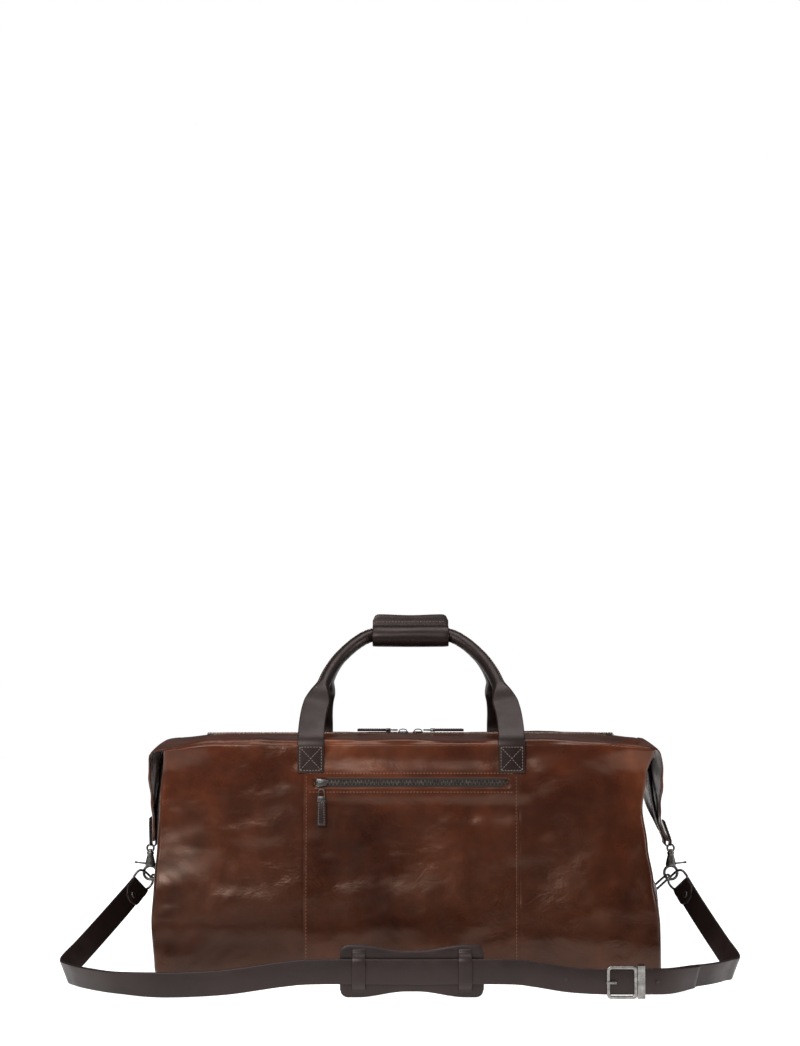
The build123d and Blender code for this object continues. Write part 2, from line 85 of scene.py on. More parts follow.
# sizes read from the frame
BASE_HIGH = node_box("base_panel")[1]
HALF_LENGTH = BASE_HIGH.x
HALF_DEPTH = BASE_HIGH.y
BASE_EDGE = BASE_HIGH.z
RIDGE = node_box("main_zip_teeth")[1].z
SEAM = node_box("front_panel_center")[1].x
TEETH_LOW, TEETH_HIGH = node_box("pocket_zip_teeth")
POCKET_HALF = TEETH_HIGH.x
POCKET_Z = (TEETH_LOW.z + TEETH_HIGH.z) / 2
MAIN_HALF = node_box("main_zip_teeth")[1].x
FEET_LOW, FEET_HIGH = node_box("front_handle_feet")
GRIP_LOW, GRIP_HIGH = node_box("front_grip")
WING_LOW = node_box("wing_right")[0].z
RUN_LOW, RUN_HIGH = node_box("shoulder_pad")
BUCKLE_HIGH = node_box("buckle_frame")[1]

# shape of the body that the frame's flat panels don't have
WALL_RISE = -3.5
WALL_TOP = RIDGE - WALL_RISE
SHOULDER = 8.0
BACK_SAG = 8.5
BACK_SAG_ENDS = 4.0
END_ROUND = 6.0
LEFT_ENDS = ((0, 260), (55, 263), (95, 261), (130, 259), (170, 257), (234, 253))
RIGHT_ENDS = ((0, 253), (50, 252), (95, 246), (130, 241), (168, 236.5), (205, 241), (234, 249))
GUSSET_MIDDLE = ((0, 254), (85, 254), (115, 236), (165, 222), (205, 224), (234, 246))
SLOT_HIGH = 9.0
SLOT_DEEP = 1.8
POUCH_ROOM = 2.6
SEAM_STEP = 0.9
LINING_SHARE = (0.96, 0.93, 0.94)
LEFT_WING_OUT = 12.0
LEVER_SUNK = 4.0
PANELS = [f"{face}_panel_{side}" for face in ("front", "back")
          for side in ("left", "center", "right")]
PANELS += ["base_panel", "roof_panel_front", "roof_panel_back", "gusset_left", "gusset_right"]

# rows of stitches: how far each lies from its edge, how far along it runs, and its pitch
SEAM_INSET = 2.6
SEAM_PITCH = 3.6
POCKET_OFF = 9.5
POCKET_PITCH = 3.4
ROOF_OFF = 9.5
ROOF_END = 210
PULL_PITCH = 2.4
FOOT_PITCH = 3.0
EDGE_PITCH = 3.4

# well clear of the bag, where a line that looks for its leather starts
RAY_ABOVE = 400
RAY_BESIDE = 300

# handles: where the leather bends inwards, where it rolls into a bow, and its hinge line
LEAN_FROM, LEAN_TO = -6.0, 15.0
LEAN_STEP = 0.5
ROLL_FROM, ROLL_TO = 56.0, 86.0
FOOT_HALF = 13.5
HANDLE_THICK = 3.0
HINGE_Z = node_box("front_handle")[0].z - 2.0
HINGE_Y = -node_box("front_handle")[0].y - 1.0
ROLL_RADIUS = 7.0
ROLL_Y = (GRIP_HIGH.y - GRIP_LOW.y) / 2 + 0.4
ROLL_Z = GRIP_LOW.z + (GRIP_HIGH.y - GRIP_LOW.y) / 2 + 0.1
TOP_REACH = math.hypot(HINGE_Y - ROLL_Y, ROLL_Z - HINGE_Z)

# shoulder strap: its section, its lean near the creases, its run and the creases
STRAP_WIDE = 24.0
STRAP_THICK = 2.8
STRAP_CORNER = 1.1
STRAP_LEAN = math.radians(21)
STRAP_CENTRE = Vector((0, -60, 12))
LEAN_FREE = (232.0, 290.0)
RUN_Y = (BUCKLE_HIGH.y - 0.3) + STRAP_THICK / 2 + 0.1
RISE = 13.0
LOW_RISE = 3.5
HALF_WIDE = STRAP_WIDE / 2
CREASE_LEFT = Vector((-345.0, -150.0, HALF_WIDE + 0.8))
CREASE_RIGHT = Vector((325.0, -136.0, HALF_WIDE + 0.8))
HOLES_X = (147, 235)
BRIDGE_X = 51.0


# ---------------------------------------------------------------- small helpers

def smooth(low, high, value):
    """0 below low, 1 above high, and a smooth ramp between them."""
    t = min(max((value - low) / (high - low), 0.0), 1.0)
    return t * t * (3 - 2 * t)


def follow(stations, at):
    """A value read from (place, value) pairs, easing between them."""
    for (a, value_a), (b, value_b) in zip(stations, stations[1:]):
        if at <= b:
            return value_a + (value_b - value_a) * smooth(a, b, at)
    return stations[-1][1]


def spline(points, step):
    """Points along a smooth curve through given points, about step apart."""
    points = [Vector(p) for p in points]
    ends = [points[0] * 2 - points[1], *points, points[-1] * 2 - points[-2]]
    line = []
    for a, b, c, d in zip(ends, ends[1:], ends[2:], ends[3:]):
        count = max(2, round((c - b).length / step))
        for n in range(count):
            t = n / count
            line.append(0.5 * (2 * b + (c - a) * t + (2 * a - 5 * b + 4 * c - d) * t * t
                               + (3 * b - a - 3 * c + d) * t * t * t))
    line.append(points[-1])
    return line


def mesh_piece(name, points, faces, material, body, replaced=(), flat=False):
    """A mesh from points in millimetres, with its material and its body."""
    mesh = bpy.data.meshes.new(name)
    mesh.from_pydata([Vector(p) * MM for p in points], [], faces)
    mesh.validate()
    shape = bmesh.new()
    shape.from_mesh(mesh)
    bmesh.ops.recalc_face_normals(shape, faces=shape.faces)
    shape.to_mesh(mesh)
    shape.free()
    if not flat:
        mesh.polygons.foreach_set("use_smooth", [True] * len(mesh.polygons))
    mesh.materials.append(material)
    piece = bpy.data.objects.new(name, mesh)
    bpy.context.collection.objects.link(piece)
    if body:
        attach(piece, body)
    if replaced:
        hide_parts(*replaced)
    return piece


def tube_faces(rings, count, closed_loop=False):
    """Faces that join rings of points, each ring count long."""
    faces = []
    pairs = list(zip(range(rings), range(1, rings)))
    if closed_loop:
        pairs.append((rings - 1, 0))
    for a, b in pairs:
        for n in range(count):
            m = (n + 1) % count
            faces.append((a * count + n, a * count + m, b * count + m, b * count + n))
    if not closed_loop:
        faces.append(tuple(reversed(range(count))))
        faces.append(tuple((rings - 1) * count + n for n in range(count)))
    return faces


def rounded_rectangle(wide, thick, corner, steps=3):
    """Points round a rectangle with round corners, as (across, out) pairs."""
    loop = []
    for across, out, turn in ((1, 1, 0), (-1, 1, 90), (-1, -1, 180), (1, -1, 270)):
        for n in range(steps + 1):
            angle = math.radians(turn + 90 * n / steps)
            loop.append((across * (wide / 2 - corner) + corner * math.cos(angle),
                         out * (thick / 2 - corner) + corner * math.sin(angle)))
    return loop


def band(name, line, across, section, material, body, replaced=()):
    """A strap: a section carried along a line, with its width along the across vectors."""
    points = []
    for n, middle in enumerate(line):
        before = line[max(n - 1, 0)]
        after = line[min(n + 1, len(line) - 1)]
        along = (after - before).normalized()
        wide = (across[n] - along * across[n].dot(along)).normalized()
        out = along.cross(wide)
        end = min(n, len(line) - 1 - n)
        for a, b in section(n) if callable(section) else section:
            points.append(middle + wide * a + out * b * (0.72 if end == 0 else 1.0))
    count = len(points) // len(line)
    return mesh_piece(name, points, tube_faces(len(line), count), material, body, replaced)


def stitch_row(name, line, normals, pitch, material, body, length=0.68, radius=0.42):
    """A row of sewn stitches: short thread beads sunk at both ends into the leather."""
    points, faces = [], []
    travelled, due = 0.0, pitch / 2
    for a, b, normal in zip(line, line[1:], normals):
        span = (b - a).length
        while due <= travelled + span and span > 0:
            centre = a.lerp(b, (due - travelled) / span)
            along = (b - a).normalized()
            side = along.cross(normal).normalized()
            first = len(points)
            half = pitch * length / 2
            for place, swell in ((-half, 0.35), (-half * 0.6, 0.95), (half * 0.6, 0.95),
                                 (half, 0.35)):
                for n in range(6):
                    turn = n * math.pi / 3
                    points.append(centre + along * place + normal * (swell * 0.45 - 0.25) * radius
                                  + (side * math.cos(turn) + normal * math.sin(turn))
                                  * radius * swell)
            for f in tube_faces(4, 6):
                faces.append(tuple(first + v for v in f))
            due += pitch
        travelled += span
    return mesh_piece(name, points, faces, material, body)


def soften(piece, width, segments=2):
    """Rounds a piece's edges, in millimetres."""
    bevel = piece.modifiers.new("edges", "BEVEL")
    bevel.width = width * MM
    bevel.segments = segments
    bevel.limit_method = "ANGLE"
    bevel.angle_limit = math.radians(35)
    bevel.harden_normals = False


def plate(name, outline, thick, place, material, body, replaced=(), edge=0.6):
    """A flat piece of leather or metal with soft edges: an outline made thick.

    place is a matrix whose X and Y columns lie in the plate and Z points out of it.
    """
    count = len(outline)
    points = [place @ Vector((x, y, z)) for z in (-thick / 2, thick / 2) for x, y in outline]
    piece = mesh_piece(name, points, tube_faces(2, count), material, body, replaced)
    soften(piece, edge)
    return piece


def facing(origin, across, out):
    """A matrix with X along across, Z along out, at an origin."""
    z = Vector(out).normalized()
    x = Vector(across)
    x = (x - z * x.dot(z)).normalized()
    y = z.cross(x)
    matrix = Matrix((x, y, z)).transposed().to_4x4()
    matrix.translation = Vector(origin)
    return matrix


# ---------------------------------------------------------------- materials

class Nodes:
    """A material's node tree, with short calls for the nodes used here."""

    def __init__(self, name):
        self.material = bpy.data.materials.new(name)
        self.material.use_nodes = True
        self.tree = self.material.node_tree
        self.shader = self.tree.nodes["Principled BSDF"]
        self.place = self.add("ShaderNodeTexCoord").outputs["Object"]

    def add(self, kind):
        return self.tree.nodes.new(kind)

    def link(self, a, b):
        self.tree.links.new(a, b)

    def set(self, **values):
        for key, value in values.items():
            self.shader.inputs[key.replace("_", " ")].default_value = value

    def stretched(self, scale):
        mapping = self.add("ShaderNodeMapping")
        mapping.inputs["Scale"].default_value = scale
        self.link(self.place, mapping.inputs["Vector"])
        return mapping.outputs["Vector"]

    def noise(self, scale, detail=3.0, rough=0.55, place=None, warp=0.0):
        node = self.add("ShaderNodeTexNoise")
        node.inputs["Scale"].default_value = scale
        node.inputs["Detail"].default_value = detail
        node.inputs["Roughness"].default_value = rough
        node.inputs["Distortion"].default_value = warp
        self.link(place or self.place, node.inputs["Vector"])
        return node.outputs["Fac"]

    def cells(self, scale, feature="F1"):
        node = self.add("ShaderNodeTexVoronoi")
        node.feature = feature
        node.inputs["Scale"].default_value = scale
        self.link(self.place, node.inputs["Vector"])
        return node.outputs["Distance"]

    def ramp(self, value, *stops):
        node = self.add("ShaderNodeValToRGB")
        bar = node.color_ramp
        while len(bar.elements) < len(stops):
            bar.elements.new(0.5)
        for element, (at, colour) in zip(bar.elements, stops):
            element.position = at
            element.color = (*colour, 1) if isinstance(colour, tuple) else (colour,) * 3 + (1,)
        self.link(value, node.inputs["Fac"])
        return node.outputs["Color"]

    def mix(self, factor, a, b, blend="MIX"):
        node = self.add("ShaderNodeMix")
        node.data_type = "RGBA"
        node.blend_type = blend
        for value, socket in ((factor, node.inputs[0]), (a, node.inputs[6]), (b, node.inputs[7])):
            if isinstance(value, bpy.types.NodeSocket):
                self.link(value, socket)
            elif isinstance(value, tuple):
                socket.default_value = (*value, 1)
            else:
                socket.default_value = value
        return node.outputs[2]

    def bump(self, height, strength, distance, after=None):
        node = self.add("ShaderNodeBump")
        node.inputs["Strength"].default_value = strength
        node.inputs["Distance"].default_value = distance
        self.link(height, node.inputs["Height"])
        if after is not None:
            self.link(after, node.inputs["Normal"])
        return node.outputs["Normal"]


def bag_leather():
    """Burnished, waxed brown leather: cloudy colour, painted shade towards the bottom and painted
    light towards the top, fine pores, patches of creases.
    """
    m = Nodes("bag_leather")
    clouds = m.noise(8, 5, 0.62, warp=0.6)
    colour = m.ramp(clouds, (0.28, (0.018, 0.0046, 0.0025)), (0.45, (0.040, 0.0092, 0.0040)),
                    (0.60, (0.068, 0.0165, 0.0064)), (0.78, (0.120, 0.034, 0.0138)))
    mottle = m.noise(48, 4, 0.6)
    colour = m.mix(0.30, colour, m.ramp(mottle, (0.35, 0.25), (0.7, 0.85)), "OVERLAY")
    height = m.add("ShaderNodeSeparateXYZ")
    m.link(m.place, height.inputs[0])
    # painted shade and painted light: by height alone, the colour is multiplied down near the floor
    # and lifted above 1 at the top
    foot = m.ramp(height.outputs["Z"], (0.0, 0.36), (0.09, 0.50), (0.15, 0.72), (0.22, 1.15))
    colour = m.mix(1.0, colour, foot, "MULTIPLY")
    m.link(colour, m.shader.inputs["Base Color"])
    gloss = m.noise(20, 4, 0.6)
    m.link(m.ramp(gloss, (0.3, 0.24), (0.7, 0.40)), m.shader.inputs["Roughness"])
    pores = m.bump(m.cells(1400), 0.10, 0.0002)
    grain = m.bump(m.noise(420, 4, 0.6), 0.10, 0.0004, pores)
    patches = m.ramp(m.noise(11, 2, 0.5), (0.42, 0.0), (0.60, 1.0))
    wrinkles = m.mix(1.0, m.noise(40, 5, 0.6, m.stretched((1.0, 1.0, 1.25)), 0.9), patches,
                     "MULTIPLY")
    creases = m.bump(wrinkles, 0.30, 0.0030, grain)
    folds = m.bump(m.noise(9, 3, 0.5, m.stretched((1.0, 1.0, 1.3)), 0.4), 0.50, 0.012, creases)
    m.link(folds, m.shader.inputs["Normal"])
    m.set(Specular_IOR_Level=0.36, Specular_Tint=(1.0, 0.66, 0.50, 1), Coat_Weight=0.05,
          Coat_Roughness=0.2)
    return m.material


def strap_leather():
    """Smooth dark brown bridle leather with a satin finish."""
    m = Nodes("strap_leather")
    clouds = m.noise(16, 4, 0.6)
    colour = m.ramp(clouds, (0.3, (0.0062, 0.0036, 0.0034)), (0.7, (0.0130, 0.0076, 0.0070)))
    m.link(colour, m.shader.inputs["Base Color"])
    m.link(m.ramp(m.noise(60, 4, 0.6), (0.3, 0.34), (0.7, 0.50)), m.shader.inputs["Roughness"])
    pores = m.bump(m.cells(1700), 0.14, 0.0002)
    grain = m.bump(m.noise(500, 4, 0.6), 0.14, 0.0003, pores)
    creases = m.bump(m.noise(60, 3, 0.5), 0.10, 0.0015, grain)
    m.link(creases, m.shader.inputs["Normal"])
    m.set(Specular_IOR_Level=0.30, Specular_Tint=(1.0, 0.82, 0.78, 1), Coat_Weight=0.04,
          Coat_Roughness=0.3)
    return m.material


def thread(name, colour):
    """Waxed sewing thread with its twist."""
    m = Nodes(name)
    twist = m.noise(2500, 2, 0.5)
    dark = tuple(c * 0.6 for c in colour)
    m.link(m.ramp(twist, (0.3, dark), (0.7, colour)), m.shader.inputs["Base Color"])
    m.link(m.bump(twist, 0.4, 0.0002), m.shader.inputs["Normal"])
    m.set(Roughness=0.6)
    return m.material


def woven_tape():
    """The zip's woven tape, whose dark colour also serves as painted shade inside the strap's
    holes.
    """
    m = Nodes("zip_tape")
    wave = m.add("ShaderNodeTexWave")
    wave.inputs["Scale"].default_value = 500
    m.link(m.place, wave.inputs["Vector"])
    threads = wave.outputs["Fac"]
    m.link(m.ramp(threads, (0.2, (0.010, 0.008, 0.007)), (0.8, (0.030, 0.024, 0.020))),
           m.shader.inputs["Base Color"])
    m.link(m.bump(threads, 0.5, 0.0003), m.shader.inputs["Normal"])
    m.set(Roughness=0.85)
    return m.material


def metal(name, dark, light, rough_low, rough_high):
    """Worn plated metal: mottled tint, brushed roughness and tiny dents."""
    m = Nodes(name)
    wear = m.noise(160, 4, 0.6)
    m.link(m.ramp(wear, (0.3, dark), (0.7, light)), m.shader.inputs["Base Color"])
    m.link(m.ramp(m.noise(500, 3, 0.6), (0.3, rough_low), (0.7, rough_high)),
           m.shader.inputs["Roughness"])
    m.link(m.bump(m.noise(700, 3, 0.6), 0.08, 0.0003), m.shader.inputs["Normal"])
    m.set(Metallic=1.0)
    return m.material


def plain_cloth(name, dark, light):
    """Plain woven cloth or board that hardly shows."""
    m = Nodes(name)
    weave = m.noise(900, 3, 0.6)
    m.link(m.ramp(weave, (0.3, dark), (0.7, light)), m.shader.inputs["Base Color"])
    m.link(m.bump(weave, 0.3, 0.0003), m.shader.inputs["Normal"])
    m.set(Roughness=0.8)
    return m.material


BAG = bag_leather()
STRAP = strap_leather()
SEAM_THREAD = thread("seam_thread", (0.22, 0.075, 0.034))
STRAP_THREAD = thread("strap_thread", (0.20, 0.13, 0.10))
TAPE_AND_HOLE_SHADE = woven_tape()
GUNMETAL = metal("gunmetal", (0.055, 0.052, 0.05), (0.16, 0.15, 0.14), 0.26, 0.42)
TOOTH_METAL = metal("tooth_metal", (0.10, 0.08, 0.07), (0.26, 0.22, 0.19), 0.3, 0.45)
NICKEL = metal("antique_nickel", (0.12, 0.115, 0.11), (0.30, 0.285, 0.27), 0.22, 0.38)
CLOTH = plain_cloth("lining_cloth", (0.09, 0.065, 0.045), (0.16, 0.12, 0.085))
BOARD = plain_cloth("board", (0.03, 0.03, 0.03), (0.06, 0.06, 0.06))


# ---------------------------------------------------------------- camera, light, floor

def studio():
    """A level product-shot camera, a pale floor and soft light."""
    camera = bpy.data.objects.new("camera", bpy.data.cameras.new("camera"))
    camera.location = (CAMERA_X, CAMERA_Y, CAMERA_Z)
    camera.rotation_euler = (math.radians(90 + CAMERA_TILT), 0, 0)
    camera.data.lens = CAMERA_LENS
    bpy.context.collection.objects.link(camera)
    bpy.context.scene.camera = camera
    world = bpy.data.worlds.new("studio")
    world.use_nodes = True
    tree = world.node_tree
    backdrop = tree.nodes["Background"]
    backdrop.inputs["Color"].default_value = (1, 1, 1, 1)
    backdrop.inputs["Strength"].default_value = 1.0
    soft = tree.nodes.new("ShaderNodeBackground")
    soft.inputs["Color"].default_value = (1, 1, 1, 1)
    soft.inputs["Strength"].default_value = ROOM_LIGHT
    rays = tree.nodes.new("ShaderNodeLightPath")
    mix = tree.nodes.new("ShaderNodeMixShader")
    tree.links.new(rays.outputs["Is Camera Ray"], mix.inputs[0])
    tree.links.new(soft.outputs[0], mix.inputs[1])
    tree.links.new(backdrop.outputs[0], mix.inputs[2])
    tree.links.new(mix.outputs[0], tree.nodes["World Output"].inputs[0])
    bpy.context.scene.world = world
    bpy.context.scene.view_settings.view_transform = "Standard"
    for name, place, size, power in LIGHTS:
        light = bpy.data.objects.new(name, bpy.data.lights.new(name, "AREA"))
        light.data.energy = power
        light.data.shape = "RECTANGLE"
        light.data.size, light.data.size_y = size
        light.location = place
        aim = Vector((0, 0, 0.12)) - light.location
        light.rotation_mode = "QUATERNION"
        light.rotation_quaternion = aim.to_track_quat("-Z", "Y")
        bpy.context.collection.objects.link(light)
    floor = Nodes("floor")
    speckle = floor.noise(3, 2, 0.5)
    floor.link(floor.ramp(speckle, (0.3, (0.88, 0.88, 0.88)), (0.7, (0.90, 0.90, 0.90))),
               floor.shader.inputs["Base Color"])
    floor.set(Roughness=0.9, Specular_IOR_Level=0.1)
    floor.set(Emission_Color=(1, 1, 1, 1), Emission_Strength=FLOOR_GLOW)
    under = -0.0002
    mesh = bpy.data.meshes.new("floor")
    mesh.from_pydata([(-FLOOR_REACH, -FLOOR_FRONT, under), (FLOOR_REACH, -FLOOR_FRONT, under),
                      (FLOOR_REACH, FLOOR_REACH, under), (-FLOOR_REACH, FLOOR_REACH, under)],
                     [], [(0, 1, 2, 3)])
    mesh.materials.append(floor.material)
    ground = bpy.data.objects.new("floor", mesh)
    bpy.context.collection.objects.link(ground)


# ---------------------------------------------------------------- the body

def wall_heights():
    """Heights of the front wall's rows, closer together at the pocket's slot."""
    top, low = WALL_TOP - SHOULDER, BASE_EDGE
    rows = [low + (top - low) * n / 54 for n in range(55)]
    rows = [z for z in rows if abs(z - POCKET_Z) > SLOT_HIGH / 2 + 4]
    for edge in (-1, 1):
        rows += [POCKET_Z + edge * (SLOT_HIGH / 2 + d) for d in (-1.4, -0.5, 0.4, 1.6, 3.2)]
    rows += [POCKET_Z - 1.5, POCKET_Z + 1.5]
    return sorted(rows)


def profile():
    """The body's loop, seen from its end, as (y, z, normal) from the middle of the base."""
    loop = [(y, 0.0, (0, -1)) for y in range(0, int(HALF_DEPTH - BASE_EDGE), 8)]
    heights = wall_heights()
    low = [math.radians(-90 + 90 * n / 5) for n in range(6)]
    for a in low[:-1]:
        loop.append((HALF_DEPTH - BASE_EDGE + BASE_EDGE * math.cos(a),
                     BASE_EDGE + BASE_EDGE * math.sin(a), (math.cos(a), math.sin(a))))
    loop += [(HALF_DEPTH, z, (1, 0)) for z in heights]
    for n in range(1, 7):
        a = math.radians(86 * n / 6)
        loop.append((HALF_DEPTH - SHOULDER + SHOULDER * math.cos(a),
                     WALL_TOP - SHOULDER + SHOULDER * math.sin(a), (math.cos(a), math.sin(a))))
    edge = HALF_DEPTH - SHOULDER - 3
    for n in range(29):
        y = edge * (1 - n / 29)
        loop.append((y, WALL_TOP + 0.4 + (WALL_RISE - 0.4) * (1 - (y / edge) ** 2), (0, 1)))
    ridge = [(0.0, RIDGE, (0, 1))]
    other = [(-y, z, (-ny, nz)) for y, z, (ny, nz) in reversed(loop[1:])]
    return loop + ridge + other


def dents(x, y, z):
    """How far the leather stands out of its flat panel, from big sags to small creases."""
    place = Vector((x, y, z))
    big = noise.noise(place / 95 + Vector((3.1, 0.7, 1.9))) * 4.2
    middle = noise.noise(place / 42 + Vector((7.7, 2.3, 5.1))) * 1.7
    drag = Vector((x / 60 + z / 75, y / 60, z / 24 - x / 70))
    pulls = noise.noise(drag) * 1.5
    small = noise.noise(place / 17) * 0.45
    return big + middle + pulls + small


def stand_out(x, y, z, normal):
    """The leather's whole offset along its normal, with hard parts left where they are."""
    ny, nz = normal
    wall = smooth(0.2, 0.95, abs(ny))
    roof = smooth(0.2, 0.95, nz)
    front = abs(ny) > 0.7
    offset = dents(x, y, z)
    offset += wall * (4.0 * math.exp(-((z - 55) / 42) ** 2) - 2.4 * smooth(110, 205, z))
    if abs(x) < SEAM + 4:
        offset = max(offset, -POUCH_ROOM)
    offset -= roof * (1.0 + 3.0 * smooth(110, 215, abs(x)) * smooth(14, 60, abs(y)))
    keep = smooth(0, 18, z)
    keep *= 1 - (1 - smooth(10, 34, abs(y))) * roof
    if y < 0:
        near_slot = (1 - smooth(10, 24, abs(z - POCKET_Z))) * (1 - smooth(POCKET_HALF + 4,
                                                                         POCKET_HALF + 30, abs(x)))
        keep *= 1 - near_slot * wall
    offset *= keep
    if front:
        gap = abs(x) - SEAM
        offset -= 1.0 * math.exp(-(gap / 0.9) ** 2)
        offset += SEAM_STEP * smooth(-26, -3, gap) * (1 - smooth(-0.9, 0.9, gap))
    if y < 0 and front and abs(x) < POCKET_HALF - 1:
        offset -= SLOT_DEEP * (1 - smooth(SLOT_HIGH / 2 - 0.6, SLOT_HIGH / 2 + 0.6,
                                          abs(z - POCKET_Z)))
    return offset


def body_rows():
    """Places along the bag's length, closer together at the seams."""
    reach = HALF_LENGTH - END_ROUND
    rows = [-reach + 2 * reach * n / 122 for n in range(123)]
    rows = [x for x in rows if abs(abs(x) - SEAM) > 4.5]
    for side in (-1, 1):
        rows += [side * SEAM + d for d in (-4, -2.4, -1.2, 0, 1.2, 2.4, 4)]
        rows.append(side * (POCKET_HALF - 0.5))
        rows.append(side * (POCKET_HALF - 1.6))
    return sorted(rows)


def end_reach(x, z):
    """How far the bag's end edge lies from the middle at a height, on the side of x."""
    return follow(LEFT_ENDS if x < 0 else RIGHT_ENDS, z)


def back_sag(x, y, z):
    """How far the back edge of the roof hangs below the front edge."""
    sag = BACK_SAG + BACK_SAG_ENDS * smooth(60, 200, abs(x))
    return sag * smooth(8, 100, y) * smooth(185, WALL_TOP, z)


def body_point(x, y, z, normal, inset=0.0):
    """One point of the body, with its sag, its pinched ends and its creases."""
    ny, nz = normal
    lift = stand_out(x, y, z, normal)
    pinch = smooth(150, HALF_LENGTH, abs(x))
    narrow = 7.0 * pinch * smooth(60, 150, z) * (1 - smooth(205, 240, z))
    y_new = y + ny * (lift - inset - narrow)
    z_new = z + nz * (lift - inset) - 5.5 * smooth(195, HALF_LENGTH, abs(x)) * smooth(150, 236, z)
    z_new -= back_sag(x, y, z)
    side = 1 if x > 0 else -1
    reach = end_reach(x, z) - HALF_LENGTH
    x_new = x + side * reach * smooth(120, HALF_LENGTH, abs(x))
    return Vector((x_new, y_new, max(z_new, 0.0)))


def end_cap(loop, side):
    """Rings that round a vertical edge and close the gusset, which sinks in the middle."""
    rings = []
    edge = side * (HALF_LENGTH - END_ROUND)
    for n in range(1, 6):
        a = math.radians(90 * n / 5)
        x = edge + side * END_ROUND * math.sin(a)
        inset = END_ROUND * (1 - math.cos(a)) * 0.8
        rings.append([body_point(x, y, z, normal, inset) for y, z, normal in loop])
    rim = rings[-1]
    middle = Vector((0, 0, 118))
    for n in range(1, 17):
        share = 1 - n / 16.5
        ring = []
        for p in rim:
            y = p.y * share
            z = middle.z + (p.z - middle.z) * share
            sunk = follow(GUSSET_MIDDLE, z)
            x = abs(p.x) + (sunk - abs(p.x)) * (1 - share ** 4)
            x += noise.noise(Vector((side * 9, y / 30, z / 34))) * 4 * (1 - share)
            ring.append(Vector((side * x, y, z)))
        rings.append(ring)
    return rings


def body_mesh():
    """Points and faces of the whole leather body, one closed skin."""
    loop = profile()
    count = len(loop)
    left = [list(r) for r in reversed(end_cap(loop, -1))]
    rows = [[body_point(x, y, z, normal) for y, z, normal in loop] for x in body_rows()]
    rings = left + rows + end_cap(loop, 1)
    points = [p for ring in rings for p in ring]
    return points, tube_faces(len(rings), count)


def body():
    """The leather body, and a tree to lay seams and stitches on it."""
    points, faces = body_mesh()
    mesh_piece("bag_body", points, faces, BAG, "bag", PANELS)
    middle = Vector((0, 0, RIDGE / 2))
    hung = [middle + Vector((v.x * LINING_SHARE[0], v.y * LINING_SHARE[1], v.z * LINING_SHARE[2]))
            for v in (p - middle for p in points)]
    mesh_piece("bag_lining", hung, faces, CLOTH, "bag", ["lining"])
    return BVHTree.FromPolygons(points, faces)


def on_front(tree, x, z, lift=0.0, side=-1):
    """A point of the front (or back) leather at x and z, and its normal."""
    hit, normal, _, _ = tree.ray_cast(Vector((x, side * RAY_BESIDE, z)), Vector((0, -side, 0)))
    normal = normal if normal.y * side > 0 else -normal
    return hit + normal * lift, normal


def stitched_line(tree, name, ends, pitch, side=-1, lift=0.1, radius=0.42):
    """A row of stitches laid on the leather between two (x, z) places."""
    (xa, za), (xb, zb) = ends
    count = max(2, int(math.hypot(xb - xa, zb - za) / 3))
    hits = [on_front(tree, xa + (xb - xa) * n / count, za + (zb - za) * n / count, lift, side)
            for n in range(count + 1)]
    stitch_row(name, [h[0] for h in hits], [h[1] for h in hits], pitch, SEAM_THREAD, "bag",
               radius=radius)


def body_stitching(tree):
    """Stitches beside the upright seams, front and back, and round the pocket's slot."""
    for side, face in ((-1, "front"), (1, "back")):
        for end, name in ((-1, "left"), (1, "right")):
            x = end * (SEAM - SEAM_INSET)
            stitched_line(tree, f"seam_stitches_{face}_{name}", ((x, 12), (x, FEET_LOW.z - 2)),
                          SEAM_PITCH, side, radius=0.26, lift=0.05)
    for name, off in (("top", POCKET_OFF), ("low", -POCKET_OFF)):
        z = POCKET_Z + off
        stitched_line(tree, f"pocket_stitches_{name}",
                      ((-SEAM + 5, z), (SEAM - 5, z)), POCKET_PITCH)


# ---------------------------------------------------------------- zips

def zip_teeth(name, middle, along, across, out, half, replaced):
    """Two rows of interlocked metal teeth along a zip."""
    pitch, deep = 1.9, 1.3
    points, faces = [], []
    middle, along, across, out = (Vector(v) for v in (middle, along, across, out))
    for n in range(int(2 * half / pitch)):
        side = 1 if n % 2 else -1
        at = middle + along * (pitch * (n + 0.5) - half) + across * side * 0.7
        first = len(points)
        for wide, tall, rise in ((0.78, 1.7, -0.6), (0.78, 1.7, 0.45), (0.5, 1.3, 0.9)):
            for a, b in ((-1, -1), (1, -1), (1, 1), (-1, 1)):
                points.append(at + along * a * wide + across * b * tall + out * rise * deep)
        for f in tube_faces(3, 4):
            faces.append(tuple(first + v for v in f))
    return mesh_piece(name, points, faces, TOOTH_METAL, "bag", replaced, flat=True)


def tape_strip(x_half, wide, place):
    """A strip of woven tape that follows the leather under a zip's teeth."""
    points, faces = [], []
    count = 60
    for n in range(count + 1):
        x = -x_half + 2 * x_half * n / count
        for across in (-1, -0.33, 0.33, 1):
            points.append(place(x, across * wide / 2))
    for n in range(count):
        for k in range(3):
            a = n * 4 + k
            faces.append((a, a + 1, a + 5, a + 4))
    return points, faces


